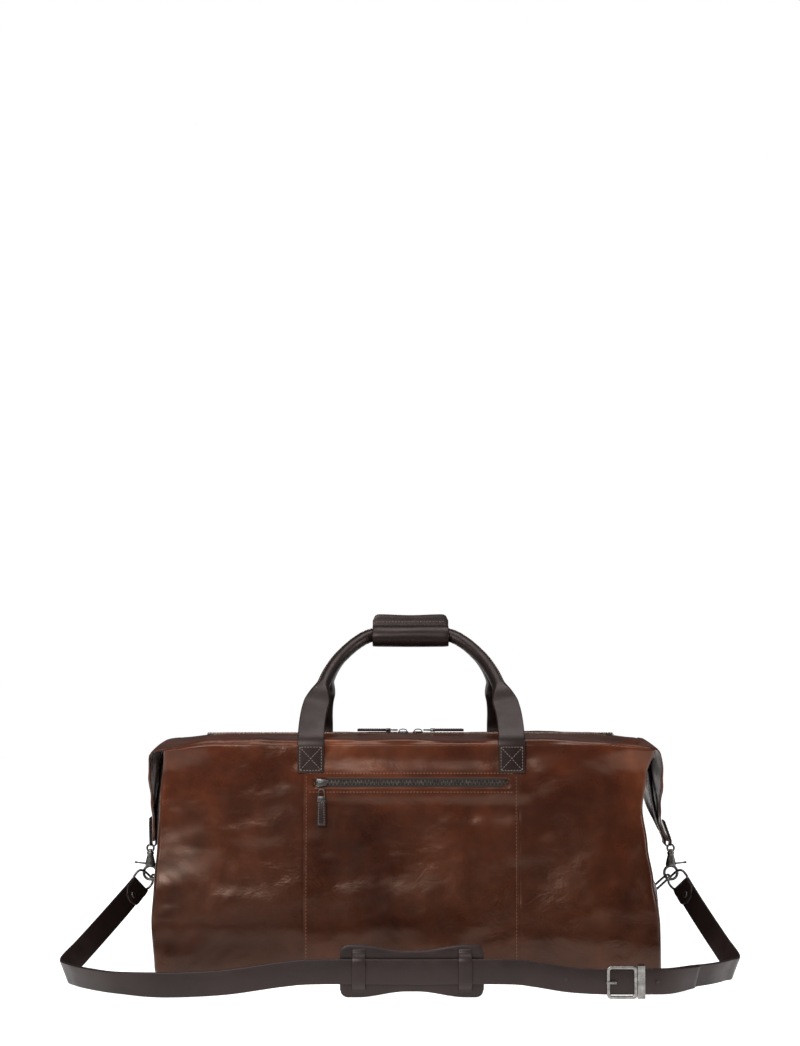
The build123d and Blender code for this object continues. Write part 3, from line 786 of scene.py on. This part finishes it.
def zips(tree):
    """The roof zip and the pocket zip: teeth and tapes, and the stitches beside the roof zip."""
    zip_teeth("roof_zip_teeth", (0, 0, RIDGE - 0.2), (1, 0, 0), (0, 1, 0), (0, 0, 1), MAIN_HALF,
              ["main_zip_teeth"])
    points, faces = tape_strip(MAIN_HALF, 13, lambda x, a: Vector((x, a, RIDGE - 1.2)))
    mesh_piece("roof_zip_tape", points, faces, TAPE_AND_HOLE_SHADE, "bag",
               ["main_zip_tape_front", "main_zip_tape_back"])
    deep = -HALF_DEPTH + SLOT_DEEP
    zip_teeth("pocket_zip_teeth_rows", (0, deep - 0.6, POCKET_Z), (1, 0, 0), (0, 0, 1),
              (0, -1, 0), POCKET_HALF - 1, ["pocket_zip_teeth"])
    points, faces = tape_strip(POCKET_HALF - 1, SLOT_HIGH - 0.4,
                               lambda x, a: Vector((x, deep - 0.35, POCKET_Z + a)))
    mesh_piece("pocket_zip_tape_face", points, faces, TAPE_AND_HOLE_SHADE, "bag",
               ["pocket_zip_tape"])
    for side, face in ((-1, "front"), (1, "back")):
        up = Vector((0, 0, 1))
        starts = [Vector((x, side * ROOF_OFF, RAY_ABOVE))
                  for x in range(-ROOF_END, ROOF_END + 1, 3)]
        line = [tree.ray_cast(start, -up)[0] + up * 0.1 for start in starts]
        stitch_row(f"roof_stitches_{face}", line, [up] * len(line), SEAM_PITCH, SEAM_THREAD,
                   "bag")


def slider_body(name, node, along, across, out, body_name):
    """A zip slider: a waisted plate and a raised crown."""
    low, high = node_box(node)
    centre = (low + high) / 2
    along, across, out = Vector(along), Vector(across), Vector(out)
    base = centre - out * 2.0
    outline = [(-5.5, -2.6), (-4.6, -4.2), (-1.5, -4.4), (1.5, -3.3), (4.6, -2.9), (5.5, -1.4),
               (5.5, 1.4), (4.6, 2.9), (1.5, 3.3), (-1.5, 4.4), (-4.6, 4.2), (-5.5, 2.6)]
    place = Matrix((along, across, out)).transposed().to_4x4()
    place.translation = base + out * 0.7
    plate(name, outline, 1.5, place, GUNMETAL, body_name, [node], edge=0.45)
    arch = [base + along * a + out * b for a, b in ((-4.2, 1.2), (-3.6, 3.0), (-1.2, 3.9),
                                                    (1.8, 3.8), (3.9, 2.9), (4.4, 1.2))]
    line = spline(arch, 0.8)
    band(f"{name}_crown", line, [across] * len(line), rounded_rectangle(2.4, 1.0, 0.4), GUNMETAL,
         body_name)


def ring_piece(name, centre, u, v, half_u, half_v, wire, material, body_name, replaced=(),
               power=2.6):
    """A wire ring between round and square, in the plane of u and v."""
    u, v = Vector(u).normalized(), Vector(v).normalized()
    normal = u.cross(v)
    count, sides = 40, 10
    points = []
    for n in range(count):
        a = math.radians(360 * n / count)
        c, s = math.cos(a), math.sin(a)
        p = (Vector(centre) + u * half_u * math.copysign(abs(c) ** (2 / power), c)
             + v * half_v * math.copysign(abs(s) ** (2 / power), s))
        out = (u * c / half_u + v * s / half_v).normalized()
        for k in range(sides):
            t = 2 * math.pi * k / sides
            points.append(p + (out * math.cos(t) + normal * math.sin(t)) * wire)
    faces = tube_faces(count, sides, closed_loop=True)
    return mesh_piece(name, points, faces, material, body_name, replaced)


def pulls():
    """Leather pulls, each on a metal ring that hangs from its slider."""
    jobs = (("main_pull_left", "main_slider_left", (-1, 0, 0), (0, 1, 0), (0, 0, 1)),
            ("main_pull_right", "main_slider_right", (1, 0, 0), (0, 1, 0), (0, 0, 1)),
            ("pocket_pull", "pocket_slider", (0, 0, -1), (1, 0, 0), (0, -1, 0)))
    for body_name, slider_name, along, across, out in jobs:
        slide = (1, 0, 0) if slider_name == "pocket_slider" else along
        flank = (0, 0, 1) if slider_name == "pocket_slider" else across
        slider_body(f"{slider_name}_body", slider_name, slide, flank, out, slider_name)
        low, high = node_box(f"{body_name}_link")
        centre = (low + high) / 2
        along, across, out = Vector(along), Vector(across), Vector(out)
        ring_piece(f"{body_name}_ring", centre, along, across, 4.6, 2.9, 0.75, GUNMETAL,
                   body_name, [f"{body_name}_link"])
        low, high = node_box(f"{body_name}_tab")
        centre = (low + high) / 2
        half = (high - low).dot(Vector([abs(c) for c in along])) / 2
        tab = [(-half, -3.6), (-half + 0.8, -4.3), (half - 1.2, -4.8), (half - 0.3, -4.4),
               (half, -3.6), (half, 3.6), (half - 0.3, 4.4), (half - 1.2, 4.8),
               (-half + 0.8, 4.3), (-half, 3.6)]
        place = facing(centre, along, out)
        plate(f"{body_name}_leather", tab, 2.4, place, STRAP, body_name,
              [f"{body_name}_tab"], edge=0.7)
        loop = [(-half + 4, -2.4), (half - 2.2, -3.0), (half - 2.2, 3.0), (-half + 4, 2.4),
                (-half + 4, -2.4)]
        line = []
        for (xa, ya), (xb, yb) in zip(loop, loop[1:]):
            count = max(2, int(math.hypot(xb - xa, yb - ya) / 1.2))
            line += [place @ Vector((xa + (xb - xa) * n / count, ya + (yb - ya) * n / count, 1.25))
                     for n in range(count)]
        stitch_row(f"{body_name}_stitches", line, [out] * len(line), PULL_PITCH, STRAP_THREAD,
                   body_name, radius=0.3)
        cap = centre - along * (half - 0.5)
        plate(f"{body_name}_clasp", [(-2.6, -3.8), (2.6, -4.4), (2.6, 4.4), (-2.6, 3.8)], 3.2,
              facing(cap, along, out), GUNMETAL, body_name, edge=0.5)


# ---------------------------------------------------------------- handles

def handle_route():
    """Middle line of a handle from foot to foot, as (x, height along the leather)."""
    foot_x = FEET_HIGH.x - FOOT_HALF
    low = FEET_LOW.z - HINGE_Z
    half = [(foot_x, low), (foot_x, low + 12), (foot_x, low + 24), (foot_x, 4), (foot_x - 0.4, 26),
            (foot_x - 2.0, 46), (foot_x - 5.5, 64), (foot_x - 10.5, 84), (foot_x - 17, 104),
            (foot_x - 27, 124), (foot_x - 42, 144), (foot_x - 57, 156.5), (foot_x - 72, 160),
            (foot_x - 88, TOP_REACH)]
    other = [(-x, h) for x, h in reversed(half)]
    return half + other


def lean_table():
    """How far a handle has gone inwards and up at each height along its leather."""
    full = math.atan2(HINGE_Y - ROLL_Y, ROLL_Z - HINGE_Z)
    table, inward, up = {}, 0.0, 0.0
    count = int(240 / LEAN_STEP)
    for n in range(count):
        h = n * LEAN_STEP - 40
        table[round(h / LEAN_STEP)] = (inward, up)
        angle = full * smooth(LEAN_FROM, LEAN_TO, h)
        inward += math.sin(angle) * LEAN_STEP
        up += math.cos(angle) * LEAN_STEP
    zero = table[0]
    end = table[round(TOP_REACH / LEAN_STEP)]
    scale_in = (HINGE_Y - ROLL_Y) / (end[0] - zero[0])
    scale_up = (ROLL_Z - HINGE_Z) / (end[1] - zero[1])
    return {k: ((a - zero[0]) * scale_in, (b - zero[1]) * scale_up) if k >= 0
            else (0.0, k * LEAN_STEP) for k, (a, b) in table.items()}


def handle_place(x, h, side, table):
    """A point of a handle's middle line in the bag's frame."""
    inward, up = table[round(h / LEAN_STEP)]
    return Vector((x, side * (HINGE_Y - inward), HINGE_Z + up))


def handle(side, name):
    """One handle: flat feet and legs that roll into a round bow, one piece of leather."""
    table = lean_table()
    flat = spline([(x, 0, h) for x, h in handle_route()], 2.5)
    line = [handle_place(p.x, p.z, side, table) for p in flat]
    sections, across = [], []
    for n, p in enumerate(flat):
        roll = smooth(ROLL_FROM, ROLL_TO, p.z)
        wide = 2 * FOOT_HALF * (1 - roll) + 2 * ROLL_RADIUS * roll
        thick = HANDLE_THICK * (1 - roll) + 2 * ROLL_RADIUS * roll
        thick += 2.6 * math.sin(math.pi * roll)
        corner = 1.2 * (1 - roll) + (ROLL_RADIUS - 0.01) * roll
        corner = min(corner, wide / 2 - 0.01, thick / 2 - 0.01)
        sections.append(rounded_rectangle(wide, thick, corner, 5))
        before, after = flat[max(n - 1, 0)], flat[min(n + 1, len(flat) - 1)]
        along = (after - before).normalized()
        turned = Vector((along.z, 0, -along.x))
        up = (handle_place(p.x, p.z + 0.5, side, table) - handle_place(p.x, p.z - 0.5, side, table))
        across.append(Vector((turned.x, 0, 0)) + up.normalized() * turned.z)
    bow = band(f"{name}_handle_leather", line, across, lambda n: sections[n], STRAP, None,
               [f"{name}_handle", f"{name}_handle_feet"])
    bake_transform(bow)
    handle_stitches(side, name, flat, table)


def handle_stitches(side, name, flat, table):
    """The crossed box on each foot, and the seam that closes the roll."""
    inner, low, high = FOOT_HALF - 2.6, FEET_LOW.z + 2.6, FEET_HIGH.z + 1
    y = side * (HINGE_Y + 1.55)
    for end, label in ((-1, "left"), (1, "right")):
        x = end * (FEET_HIGH.x - FOOT_HALF)
        a, b, c, d = ((x - inner, low), (x + inner, low), (x + inner, high), (x - inner, high))
        for n, ((xa, za), (xb, zb)) in ((0, (a, b)), (1, (b, c)), (2, (c, d)), (3, (d, a)),
                                        (4, (a, c)), (6, (b, d))):
            line = [Vector((xa + (xb - xa) * k / 8, y, za + (zb - za) * k / 8)) for k in range(9)]
            stitch_row(f"{name}_foot_{label}_stitches_{n}", line, [Vector((0, side, 0))] * 9,
                       FOOT_PITCH, STRAP_THREAD, "bag", radius=0.4)
    for end, label in ((-1, "left"), (1, "right")):
        rolled = [p for p in flat if p.z > ROLL_FROM + 14 and p.x * end > GRIP_HIGH.x - 2]
        line, normals = [], []
        for n, p in enumerate(rolled):
            before, after = rolled[max(n - 1, 0)], rolled[min(n + 1, len(rolled) - 1)]
            along = (after - before).normalized()
            up = (handle_place(p.x, p.z + 0.5, side, table)
                  - handle_place(p.x, p.z - 0.5, side, table)).normalized()
            outward = Vector((along.z, 0, 0)) - up * along.x
            if outward.x * end < 0:
                outward = -outward
            face = Vector((0, side * abs(up.z), abs(up.y)))
            normal = (outward * 0.55 + face * 0.84).normalized()
            reach = ROLL_RADIUS + 0.1
            line.append(handle_place(p.x, p.z, side, table) + normal * reach)
            normals.append(normal)
        stitch_row(f"{name}_roll_stitches_{label}", line, normals, SEAM_PITCH, STRAP_THREAD,
                   f"{name}_handle", radius=0.42)


def grip(side, name):
    """Half of the padded grip: a soft sleeve round one handle and the fin that buttons up."""
    radius = (GRIP_HIGH.y - GRIP_LOW.y) / 2
    half = GRIP_HIGH.x
    middle_y = -ROLL_Y
    count_x = 34
    points = []
    for n in range(count_x + 1):
        x = -half + 2 * half * n / count_x
        ends = min(1.0, (half - abs(x)) / 7.0)
        shrink = 0.955 + 0.045 * math.sqrt(1 - (1 - ends) ** 2)
        fin = GRIP_HIGH.z - 7.0 * (1 - math.sqrt(max(0.0, 1 - (1 - ends) ** 2)))
        fin -= 0.5 * math.cos(x / 11)
        ring = [(-0.5, fin), (-1.7, fin + 0.2), (-2.9, fin), (-3.1, fin - 4),
                (-3.4, ROLL_Z + radius * 0.98)]
        for k in range(25):
            a = math.radians(116 + 238 * k / 24)
            swell = shrink * (1 + 0.012 * math.sin(3 * a + x / 13))
            y = middle_y + radius * swell * math.cos(a)
            ring.append((min(y, -0.5), ROLL_Z + radius * swell * math.sin(a)))
        ring += [(-0.5, ROLL_Z + 6), (-0.5, ROLL_Z + 14)]
        points += [Vector((x, -side * y, z)) for y, z in ring]
    loop = len(points) // (count_x + 1)
    faces = tube_faces(count_x + 1, loop)
    piece = mesh_piece(f"{name}_grip_leather", points, faces, STRAP, f"{name}_handle",
                       [f"{name}_grip"])
    soften(piece, 0.5)
    z = ROLL_Z + radius + 3.5
    line = [Vector((x, side * 3.4, z)) for x in range(-int(half) + 3, int(half) - 2, 2)]
    stitch_row(f"{name}_grip_stitches", line, [Vector((0, side, 0))] * len(line), EDGE_PITCH,
               STRAP_THREAD, f"{name}_handle", radius=0.4)


# ---------------------------------------------------------------- ends

def wing(side, name):
    """The roof's end folded down over the gusset, its edges curling in, narrowed to the hook."""
    tip = node_box(f"wing_{name}")
    out_low = max(abs(tip[0].x), abs(tip[1].x))
    reach = LEFT_WING_OUT if side < 0 else 0
    route = [(241, RIDGE - 10), (249, RIDGE - 5.5), (255.5 + reach, RIDGE - 9),
             (259.5 + reach, RIDGE - 24), (263 + reach, 186), (269 + reach * 0.8, 150),
             (out_low - 4, WING_LOW + 1)]
    centre = spline([(x, 0, z) for x, z in route], 4)
    length = len(centre) - 1
    points = []
    columns = 25
    for n, p in enumerate(centre):
        t = n / length
        half = follow(((0, 110), (0.2, 109), (0.38, 98), (0.62, 62), (0.85, 24), (1, 11)), t)
        curl = follow(((0, 0), (0.25, 1), (0.4, 2), (0.7, 4), (0.9, 3), (1, 1)), t)
        droop = follow(((0, 1.0), (0.2, 3), (0.34, 5), (0.6, 4), (1, 0)), t)
        for layer in (0, 1):
            for k in range(columns):
                w = (2 * k / (columns - 1) - 1) * (1 if layer == 0 else -1)
                wave = noise.noise(Vector((side * 5, w * 2.2, t * 4))) * 2.0 * smooth(0.2, 0.5, t)
                x = p.x - curl * w * w - layer * 2.6 * smooth(0.15, 0.4, t) + wave * (1 - w * w)
                z = p.z - droop * w * w - layer * 1.8 * (1 - smooth(0.15, 0.4, t))
                z -= back_sag(x, w * half, z)
                points.append(Vector((side * x, w * half, z)))
    piece = mesh_piece(f"wing_{name}_leather", points, tube_faces(length + 1, 2 * columns), BAG,
                       "bag", [f"wing_{name}"])
    soften(piece, 0.5)
    wing_binding(side, name, centre, length)


def wing_binding(side, name, centre, length):
    """The dark straps down both sides of an end flap, closed in a loop that holds the hook."""
    for label, lift, start, wide in (("inner", -4.6, 0.30, 22), ("outer", 1.9, 0.84, 15)):
        line = [Vector((side * (p.x + lift), 0, p.z)) for p in centre[int(length * start):]]
        last = line[-1]
        line += [last + Vector((0, 0, -3.0)), last + Vector((-side * lift * 0.4, 0, -5.6))]
        count = len(line)
        sections = [rounded_rectangle(wide - 4 * smooth(0.5, 1, n / count), 2.2, 0.8)
                    for n in range(count)]
        band(f"wing_{name}_strap_{label}", line, [Vector((0, 1, 0))] * count,
             lambda n, sections=sections: sections[n], STRAP, "bag")
        for off, edge in ((-1, "front"), (1, "back")):
            row = [p + Vector((side * math.copysign(1.15, lift), off * (wide / 2 - 3), 0))
                   for p in line[:-3]]
            out = Vector((side * math.copysign(1, lift), 0, 0))
            stitch_row(f"wing_{name}_stitches_{label}_{edge}", row, [out] * len(row),
                       EDGE_PITCH, STRAP_THREAD, "bag", radius=0.4)


def hooks():
    """The hardware at both ends: snap hook, lever, bag ring and its tab, and strap ring."""
    for name, side in (("left", -1), ("right", 1)):
        snap_hook(name)
        lever(side, name)
        bag_ring(side, name)
        ring_tab(side, name)
        strap_ring(side, name)


def turned_shape(name, outline, origin, axis, body_name="bag", replaced=(), squeeze=1.0,
                 first=(0, 1, 0), sides=16):
    """A turned metal shape: (along, radius) pairs spun round an axis, squeezed along first."""
    axis = Vector(axis).normalized()
    u = Vector(first)
    v = axis.cross(u).normalized()
    turns = [2 * math.pi * k / sides for k in range(sides)]
    points = [Vector(origin) + axis * along + u * radius * squeeze * math.cos(t)
              + v * radius * math.sin(t) for along, radius in outline for t in turns]
    return mesh_piece(name, points, tube_faces(len(outline), sides), GUNMETAL, body_name,
                      replaced)


def snap_hook(name):
    """A cast snap hook: swivel eye, collar, tapered body and a closed loop."""
    low, high = node_box(f"snap_hook_{name}")
    x = (low.x + high.x) / 2
    loop_z = low.z + 8.4
    ring_piece(f"snap_hook_{name}_loop", (x, 0, loop_z), (1, 0, 0), (0, 0, 1), 7.0, 7.2, 1.5,
               GUNMETAL, "bag", [f"snap_hook_{name}"], power=2.1)
    shape = [(0, 4.4), (-1.0, 5.4), (-3.0, 5.6), (-9.0, 4.3), (-13.0, 3.3), (-14.0, 3.9),
             (-15.6, 3.9), (-16.4, 2.8), (-18.0, 2.2), (-19.0, 1.4)]
    turned_shape(f"snap_hook_{name}_body", shape, (x, 0, loop_z + 6.4), (0, 0, -1),
                 squeeze=0.6)
    ring_piece(f"snap_hook_{name}_eye", (x, 0, high.z - 4.4), (1, 0, 0), (0, 0, 1), 3.6, 3.8,
               1.15, GUNMETAL, "bag", power=2.0)
    # the axis lies nearly along first, so this one comes out as a flat disc
    turned_shape(f"snap_hook_{name}_rivet", [(-3.7, 0.6), (-3.5, 1.5), (3.5, 1.5), (3.7, 0.6)],
                 (x, 0, loop_z + 12), (0, 1, 0.001))


def lever(side, name):
    """The hook's thumb lever with its round end."""
    low, high = node_box(f"hook_lever_{name}")
    start_x = low.x if side > 0 else high.x
    start = Vector((start_x - side * LEVER_SUNK, 0, low.z + 0.8))
    tip = Vector((high.x if side > 0 else low.x, 0, high.z - 0.9))
    along = tip - start
    shape = [(0, 0.9), (0.4, 1.1), (along.length * 0.7, 0.8), (along.length * 0.86, 1.25),
             (along.length * 0.96, 1.2), (along.length, 0.6)]
    turned_shape(f"hook_lever_{name}_pin", shape, start, along, f"hook_lever_{name}",
                 [f"hook_lever_{name}"], sides=12)


def bag_ring(side, name):
    """The ring on the gusset."""
    low, high = node_box(f"bag_ring_{name}")
    top = Vector((high.x if side > 0 else low.x, 0, high.z))
    end = Vector((low.x if side > 0 else high.x, 0, low.z))
    down = (end - top).normalized()
    centre = (top + end) / 2
    ring_piece(f"bag_ring_{name}_wire", centre, (0, 1, 0), down, 11, (end - top).length / 2 - 1.4,
               1.25, GUNMETAL, "bag", [f"bag_ring_{name}"], power=3.4)


def ring_tab(side, name):
    """The leather tab that wraps the gusset's ring, riveted to the bag."""
    low = node_box(f"ring_tab_{name}")[0]
    ring_low = node_box(f"bag_ring_{name}")[0].z + 1.2
    face = HALF_LENGTH
    line = spline([(face - 0.5, 0, low.z), (face + 1.6, 0, low.z + 4),
                   (face + 2.2, 0, ring_low - 6),
                   (face + 3.0, 0, ring_low - 2), (face + 7.6, 0, ring_low - 1.6),
                   (face + 8.2, 0, ring_low + 1.8), (face + 5.2, 0, ring_low + 3.4),
                   (face + 2.6, 0, ring_low + 1.6)], 1.6)
    line = [Vector((side * p.x, p.y, p.z)) for p in line]
    band(f"ring_tab_{name}_leather", line, [Vector((0, 1, 0))] * len(line),
         rounded_rectangle(15.5, 2.4, 0.9), STRAP, "bag", [f"ring_tab_{name}"])
    turned_shape(f"ring_tab_{name}_rivet", [(0, 3.4), (0.8, 3.3), (1.5, 2.2), (1.7, 0.5)],
                 (side * (face + 2.6), 0, low.z + 11), (side, 0, 0.001))


def strap_ring_frame(side, name):
    """The strap ring's centre, read from the frame, with its bar's direction and the way it hangs.
    """
    low, high = node_box(f"strap_ring_{name}")
    centre = (low + high) / 2
    bar = Vector((side * 0.50, -0.60, 0.62)).normalized()
    way = Vector((side * 0.62, -0.20, -0.75)).normalized()
    return centre, bar, way


def strap_ring(side, name):
    """The D ring at the end of the shoulder strap."""
    centre, bar, way = strap_ring_frame(side, name)
    ring_piece(f"strap_ring_{name}_wire", centre, bar, way, 13, 7.5, 1.3, GUNMETAL, "bag",
               [f"strap_ring_{name}"], power=3.0)


# ---------------------------------------------------------------- the shoulder strap

STRAP_SECTION = rounded_rectangle(STRAP_WIDE, STRAP_THICK, STRAP_CORNER)


def strap_route(side, name):
    """Middle line of the strap from its ring to the crease, on one side."""
    centre, _, way = strap_ring_frame(side, name)
    start = centre + way * 8.6
    crease = CREASE_LEFT if side < 0 else CREASE_RIGHT
    drop = crease - start
    first = [start + Vector((drop.x * t, drop.y * (0.85 * t + 0.15 * t * t), drop.z * t ** 0.94))
             for t in (0, 0.1, 0.3, 0.55, 0.8)]
    return first + [crease]


def strap_across(line, bar):
    """Width directions along a strap: the ring's bar first, then up, leaning out of its bend."""
    across = []
    travelled = 0.0
    for n, p in enumerate(line):
        before, after = line[max(n - 1, 0)], line[min(n + 1, len(line) - 1)]
        along = (after - before).normalized()
        upright = (Vector((0, 0, 1)) - along * along.z).normalized()
        away = along.cross(upright)
        away = away if away.dot(p - STRAP_CENTRE) > 0 else -away
        lean = STRAP_LEAN * smooth(LEAN_FREE[0], LEAN_FREE[1], abs(p.x))
        leaning = upright * math.cos(lean) + away * math.sin(lean)
        ease = smooth(2, 45, travelled)
        across.append((bar * (1 - ease) + leaning * ease).normalized())
        travelled += (after - p).length
    return across


def shoulder_strap():
    """The two lengths of shoulder strap, their folded ends, rivets and the tail's holes."""
    left = strap_route(-1, "left")
    run = [(-333, -176, HALF_WIDE + 0.3), (-306, -200, HALF_WIDE + 0.1),
           (-278, -215, HALF_WIDE + 0.1), (-235, RUN_Y + 1.5, HALF_WIDE + 0.3),
           (-180, RUN_Y, HALF_WIDE + 3.0), (-125, RUN_Y, HALF_WIDE + RISE - 2.5),
           (-90, RUN_Y, HALF_WIDE + RISE), (0, RUN_Y, HALF_WIDE + RISE),
           (90, RUN_Y, HALF_WIDE + RISE), (118, RUN_Y, HALF_WIDE + RISE - 2.5),
           (150, RUN_Y, HALF_WIDE + LOW_RISE + 2), (185, RUN_Y, HALF_WIDE + LOW_RISE),
           (226, RUN_Y, HALF_WIDE + LOW_RISE), (250, RUN_Y + 7.5, HALF_WIDE + 2.5),
           (277, RUN_Y + 28.5, HALF_WIDE + 2.5)]
    long_line = spline(left + run, 3)
    bar = strap_ring_frame(-1, "left")[1]
    band("shoulder_strap_long_leather", long_line, strap_across(long_line, bar),
         STRAP_SECTION, STRAP, "bag", ["shoulder_strap_long"])
    right = strap_route(1, "right")
    behind = [(314, -155, HALF_WIDE + 0.8), (296, -176, HALF_WIDE + 1.6),
              (272, -194, HALF_WIDE + 2.2), (248, RUN_Y + 10.5, HALF_WIDE + 2.8),
              (224, RUN_Y + 3.6, HALF_WIDE + LOW_RISE), (200, RUN_Y + 3.2, HALF_WIDE + LOW_RISE)]
    short_line = spline(right + behind, 3)
    bar = strap_ring_frame(1, "right")[1]
    band("shoulder_strap_short_leather", short_line, strap_across(short_line, bar),
         STRAP_SECTION, STRAP, "bag", ["shoulder_strap_short"])
    strap_ends("left", -1, long_line)
    strap_ends("right", 1, short_line)
    strap_holes()


def strap_ends(name, side, line):
    """The strap's end folded round its ring, held by a rivet."""
    across = strap_across(line, strap_ring_frame(side, name)[1])
    front = []
    for n in range(10):
        p = line[n]
        along = (line[n + 1] - line[max(n - 1, 0)]).normalized()
        out = along.cross(across[n]).normalized()
        out = out if out.y < 0 else -out
        front.append(p + out * (3.0 - 1.6 * smooth(7, 9, n)))
    start = line[0]
    along = (line[1] - line[0]).normalized()
    out = (front[0] - line[0]).normalized()
    wrap = [start - along * 1.0 + out * 0.2, start - along * 3.0 + out * 1.4] + front[1:]
    wide = [across[0]] * 2 + [across[n] for n in range(1, 10)]
    count = len(wrap)

    def section(n):
        tail = smooth(count - 4, count - 1, n)
        return rounded_rectangle(STRAP_WIDE * (1 - 0.62 * tail * tail), STRAP_THICK, STRAP_CORNER)

    band(f"strap_fold_{name}", wrap, wide, section, STRAP, "bag")
    at = front[6]
    normal = (front[6] - line[6]).normalized()
    dome = [(0.9, 3.6), (1.7, 3.5), (2.3, 2.5), (2.6, 0.6)]
    turned_shape(f"strap_rivet_{name}", dome, at, normal, first=across[6])


def strap_holes():
    """Punched holes in the tail, each a dark shallow funnel: the cut wall of the hole, with painted
    shade closing its middle.
    """
    for n, x in enumerate(HOLES_X):
        z = HALF_WIDE + follow(((-118, RISE), (118, RISE - 2.5), (150, LOW_RISE + 2),
                                (185, LOW_RISE), (300, 3.0)), x)
        y = RUN_Y - STRAP_THICK / 2 - 0.05
        rim = [(0.0, 2.0), (-0.25, 1.9), (0.3, 1.3), (0.35, 0.3)]
        points = [Vector((x + r * math.cos(t), y + h, z + r * math.sin(t))) for h, r in rim
                  for t in [2 * math.pi * k / 14 for k in range(14)]]
        # painted shade: the dark funnel nearly closes the hole, standing for its shaded depth
        mesh_piece(f"strap_hole_shade_{n}", points, tube_faces(len(rim), 14), TAPE_AND_HOLE_SHADE, "bag")


def pad_outline(x):
    """The pad's half height at a place along it: full at the ends, waisted in the middle."""
    half = (RUN_HIGH.z - RUN_LOW.z) / 2
    end = RUN_HIGH.x
    waist = 5.5 * (1 - smooth(5, 52, abs(x)))
    corner = 8.0
    if abs(x) > end - corner:
        d = abs(x) - (end - corner)
        return half - corner + math.sqrt(max(corner ** 2 - d ** 2, 0.0))
    return half - waist


def shoulder_pad():
    """The pad: a waisted leather plate behind the strap and two bridges over it."""
    end = RUN_HIGH.x
    middle_z = (RUN_HIGH.z + RUN_LOW.z) / 2
    columns = [-end + 2 * end * n / 92 for n in range(93)]
    rows = 14
    back = RUN_HIGH.y
    points = []
    for x in columns:
        half = max(pad_outline(x), 0.5)
        ring = []
        for n in range(rows + 1):
            w = 2 * n / rows - 1
            ring.append((w * half, back - 3.0 + 0.7 * (abs(w) ** 8)))
        for n in range(rows + 1):
            w = 1 - 2 * n / rows
            ring.append((w * half, back - 0.7 * (abs(w) ** 8)))
        points += [Vector((x, y, middle_z + z)) for z, y in ring]
    loop = len(points) // len(columns)
    pad = mesh_piece("shoulder_pad_leather", points, tube_faces(len(columns), loop), STRAP,
                     "shoulder_pad", ["shoulder_pad"])
    soften(pad, 0.5)
    strap_z = RISE + HALF_WIDE
    front = RUN_LOW.y
    for side, name in ((-1, "left"), (1, "right")):
        x = side * BRIDGE_X
        arch = [(back - 2.4, strap_z - 21), (back - 3.2, strap_z - 17), (front + 3.0, strap_z - 13),
                (front + 1.7, strap_z - 9), (front + 1.5, strap_z), (front + 1.7, strap_z + 9),
                (front + 3.0, strap_z + 13), (back - 3.2, strap_z + 17), (back - 2.4, strap_z + 21)]
        line = spline([(x, y, z) for y, z in arch], 1.5)
        band(f"pad_bridge_{name}", line, [Vector((1, 0, 0))] * len(line),
             rounded_rectangle(13, 2.2, 0.9), STRAP, "shoulder_pad")


def give(node, material):
    """Puts a finished material on a CAD node that keeps its shape."""
    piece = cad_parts[node]
    for place in range(len(piece.material_slots)):
        piece.material_slots[place].link = "OBJECT"
        piece.material_slots[place].material = material


def kept_nodes():
    """The CAD pieces whose shape is right, with better materials."""
    for node in ("buckle_frame", "buckle_prong", "buckle_keeper"):
        give(node, NICKEL)
    for node in ("front_grip_snaps", "back_grip_snaps"):
        give(node, GUNMETAL)
    give("pocket_pouch", CLOTH)
    give("base_board", BOARD)


# ---------------------------------------------------------------- everything

studio()
skin_tree = body()
body_stitching(skin_tree)
zips(skin_tree)
pulls()
for handle_side, handle_name in ((-1, "front"), (1, "back")):
    handle(handle_side, handle_name)
    grip(handle_side, handle_name)
for end_side, end_name in ((-1, "left"), (1, "right")):
    wing(end_side, end_name)
hooks()
shoulder_strap()
shoulder_pad()
kept_nodes()
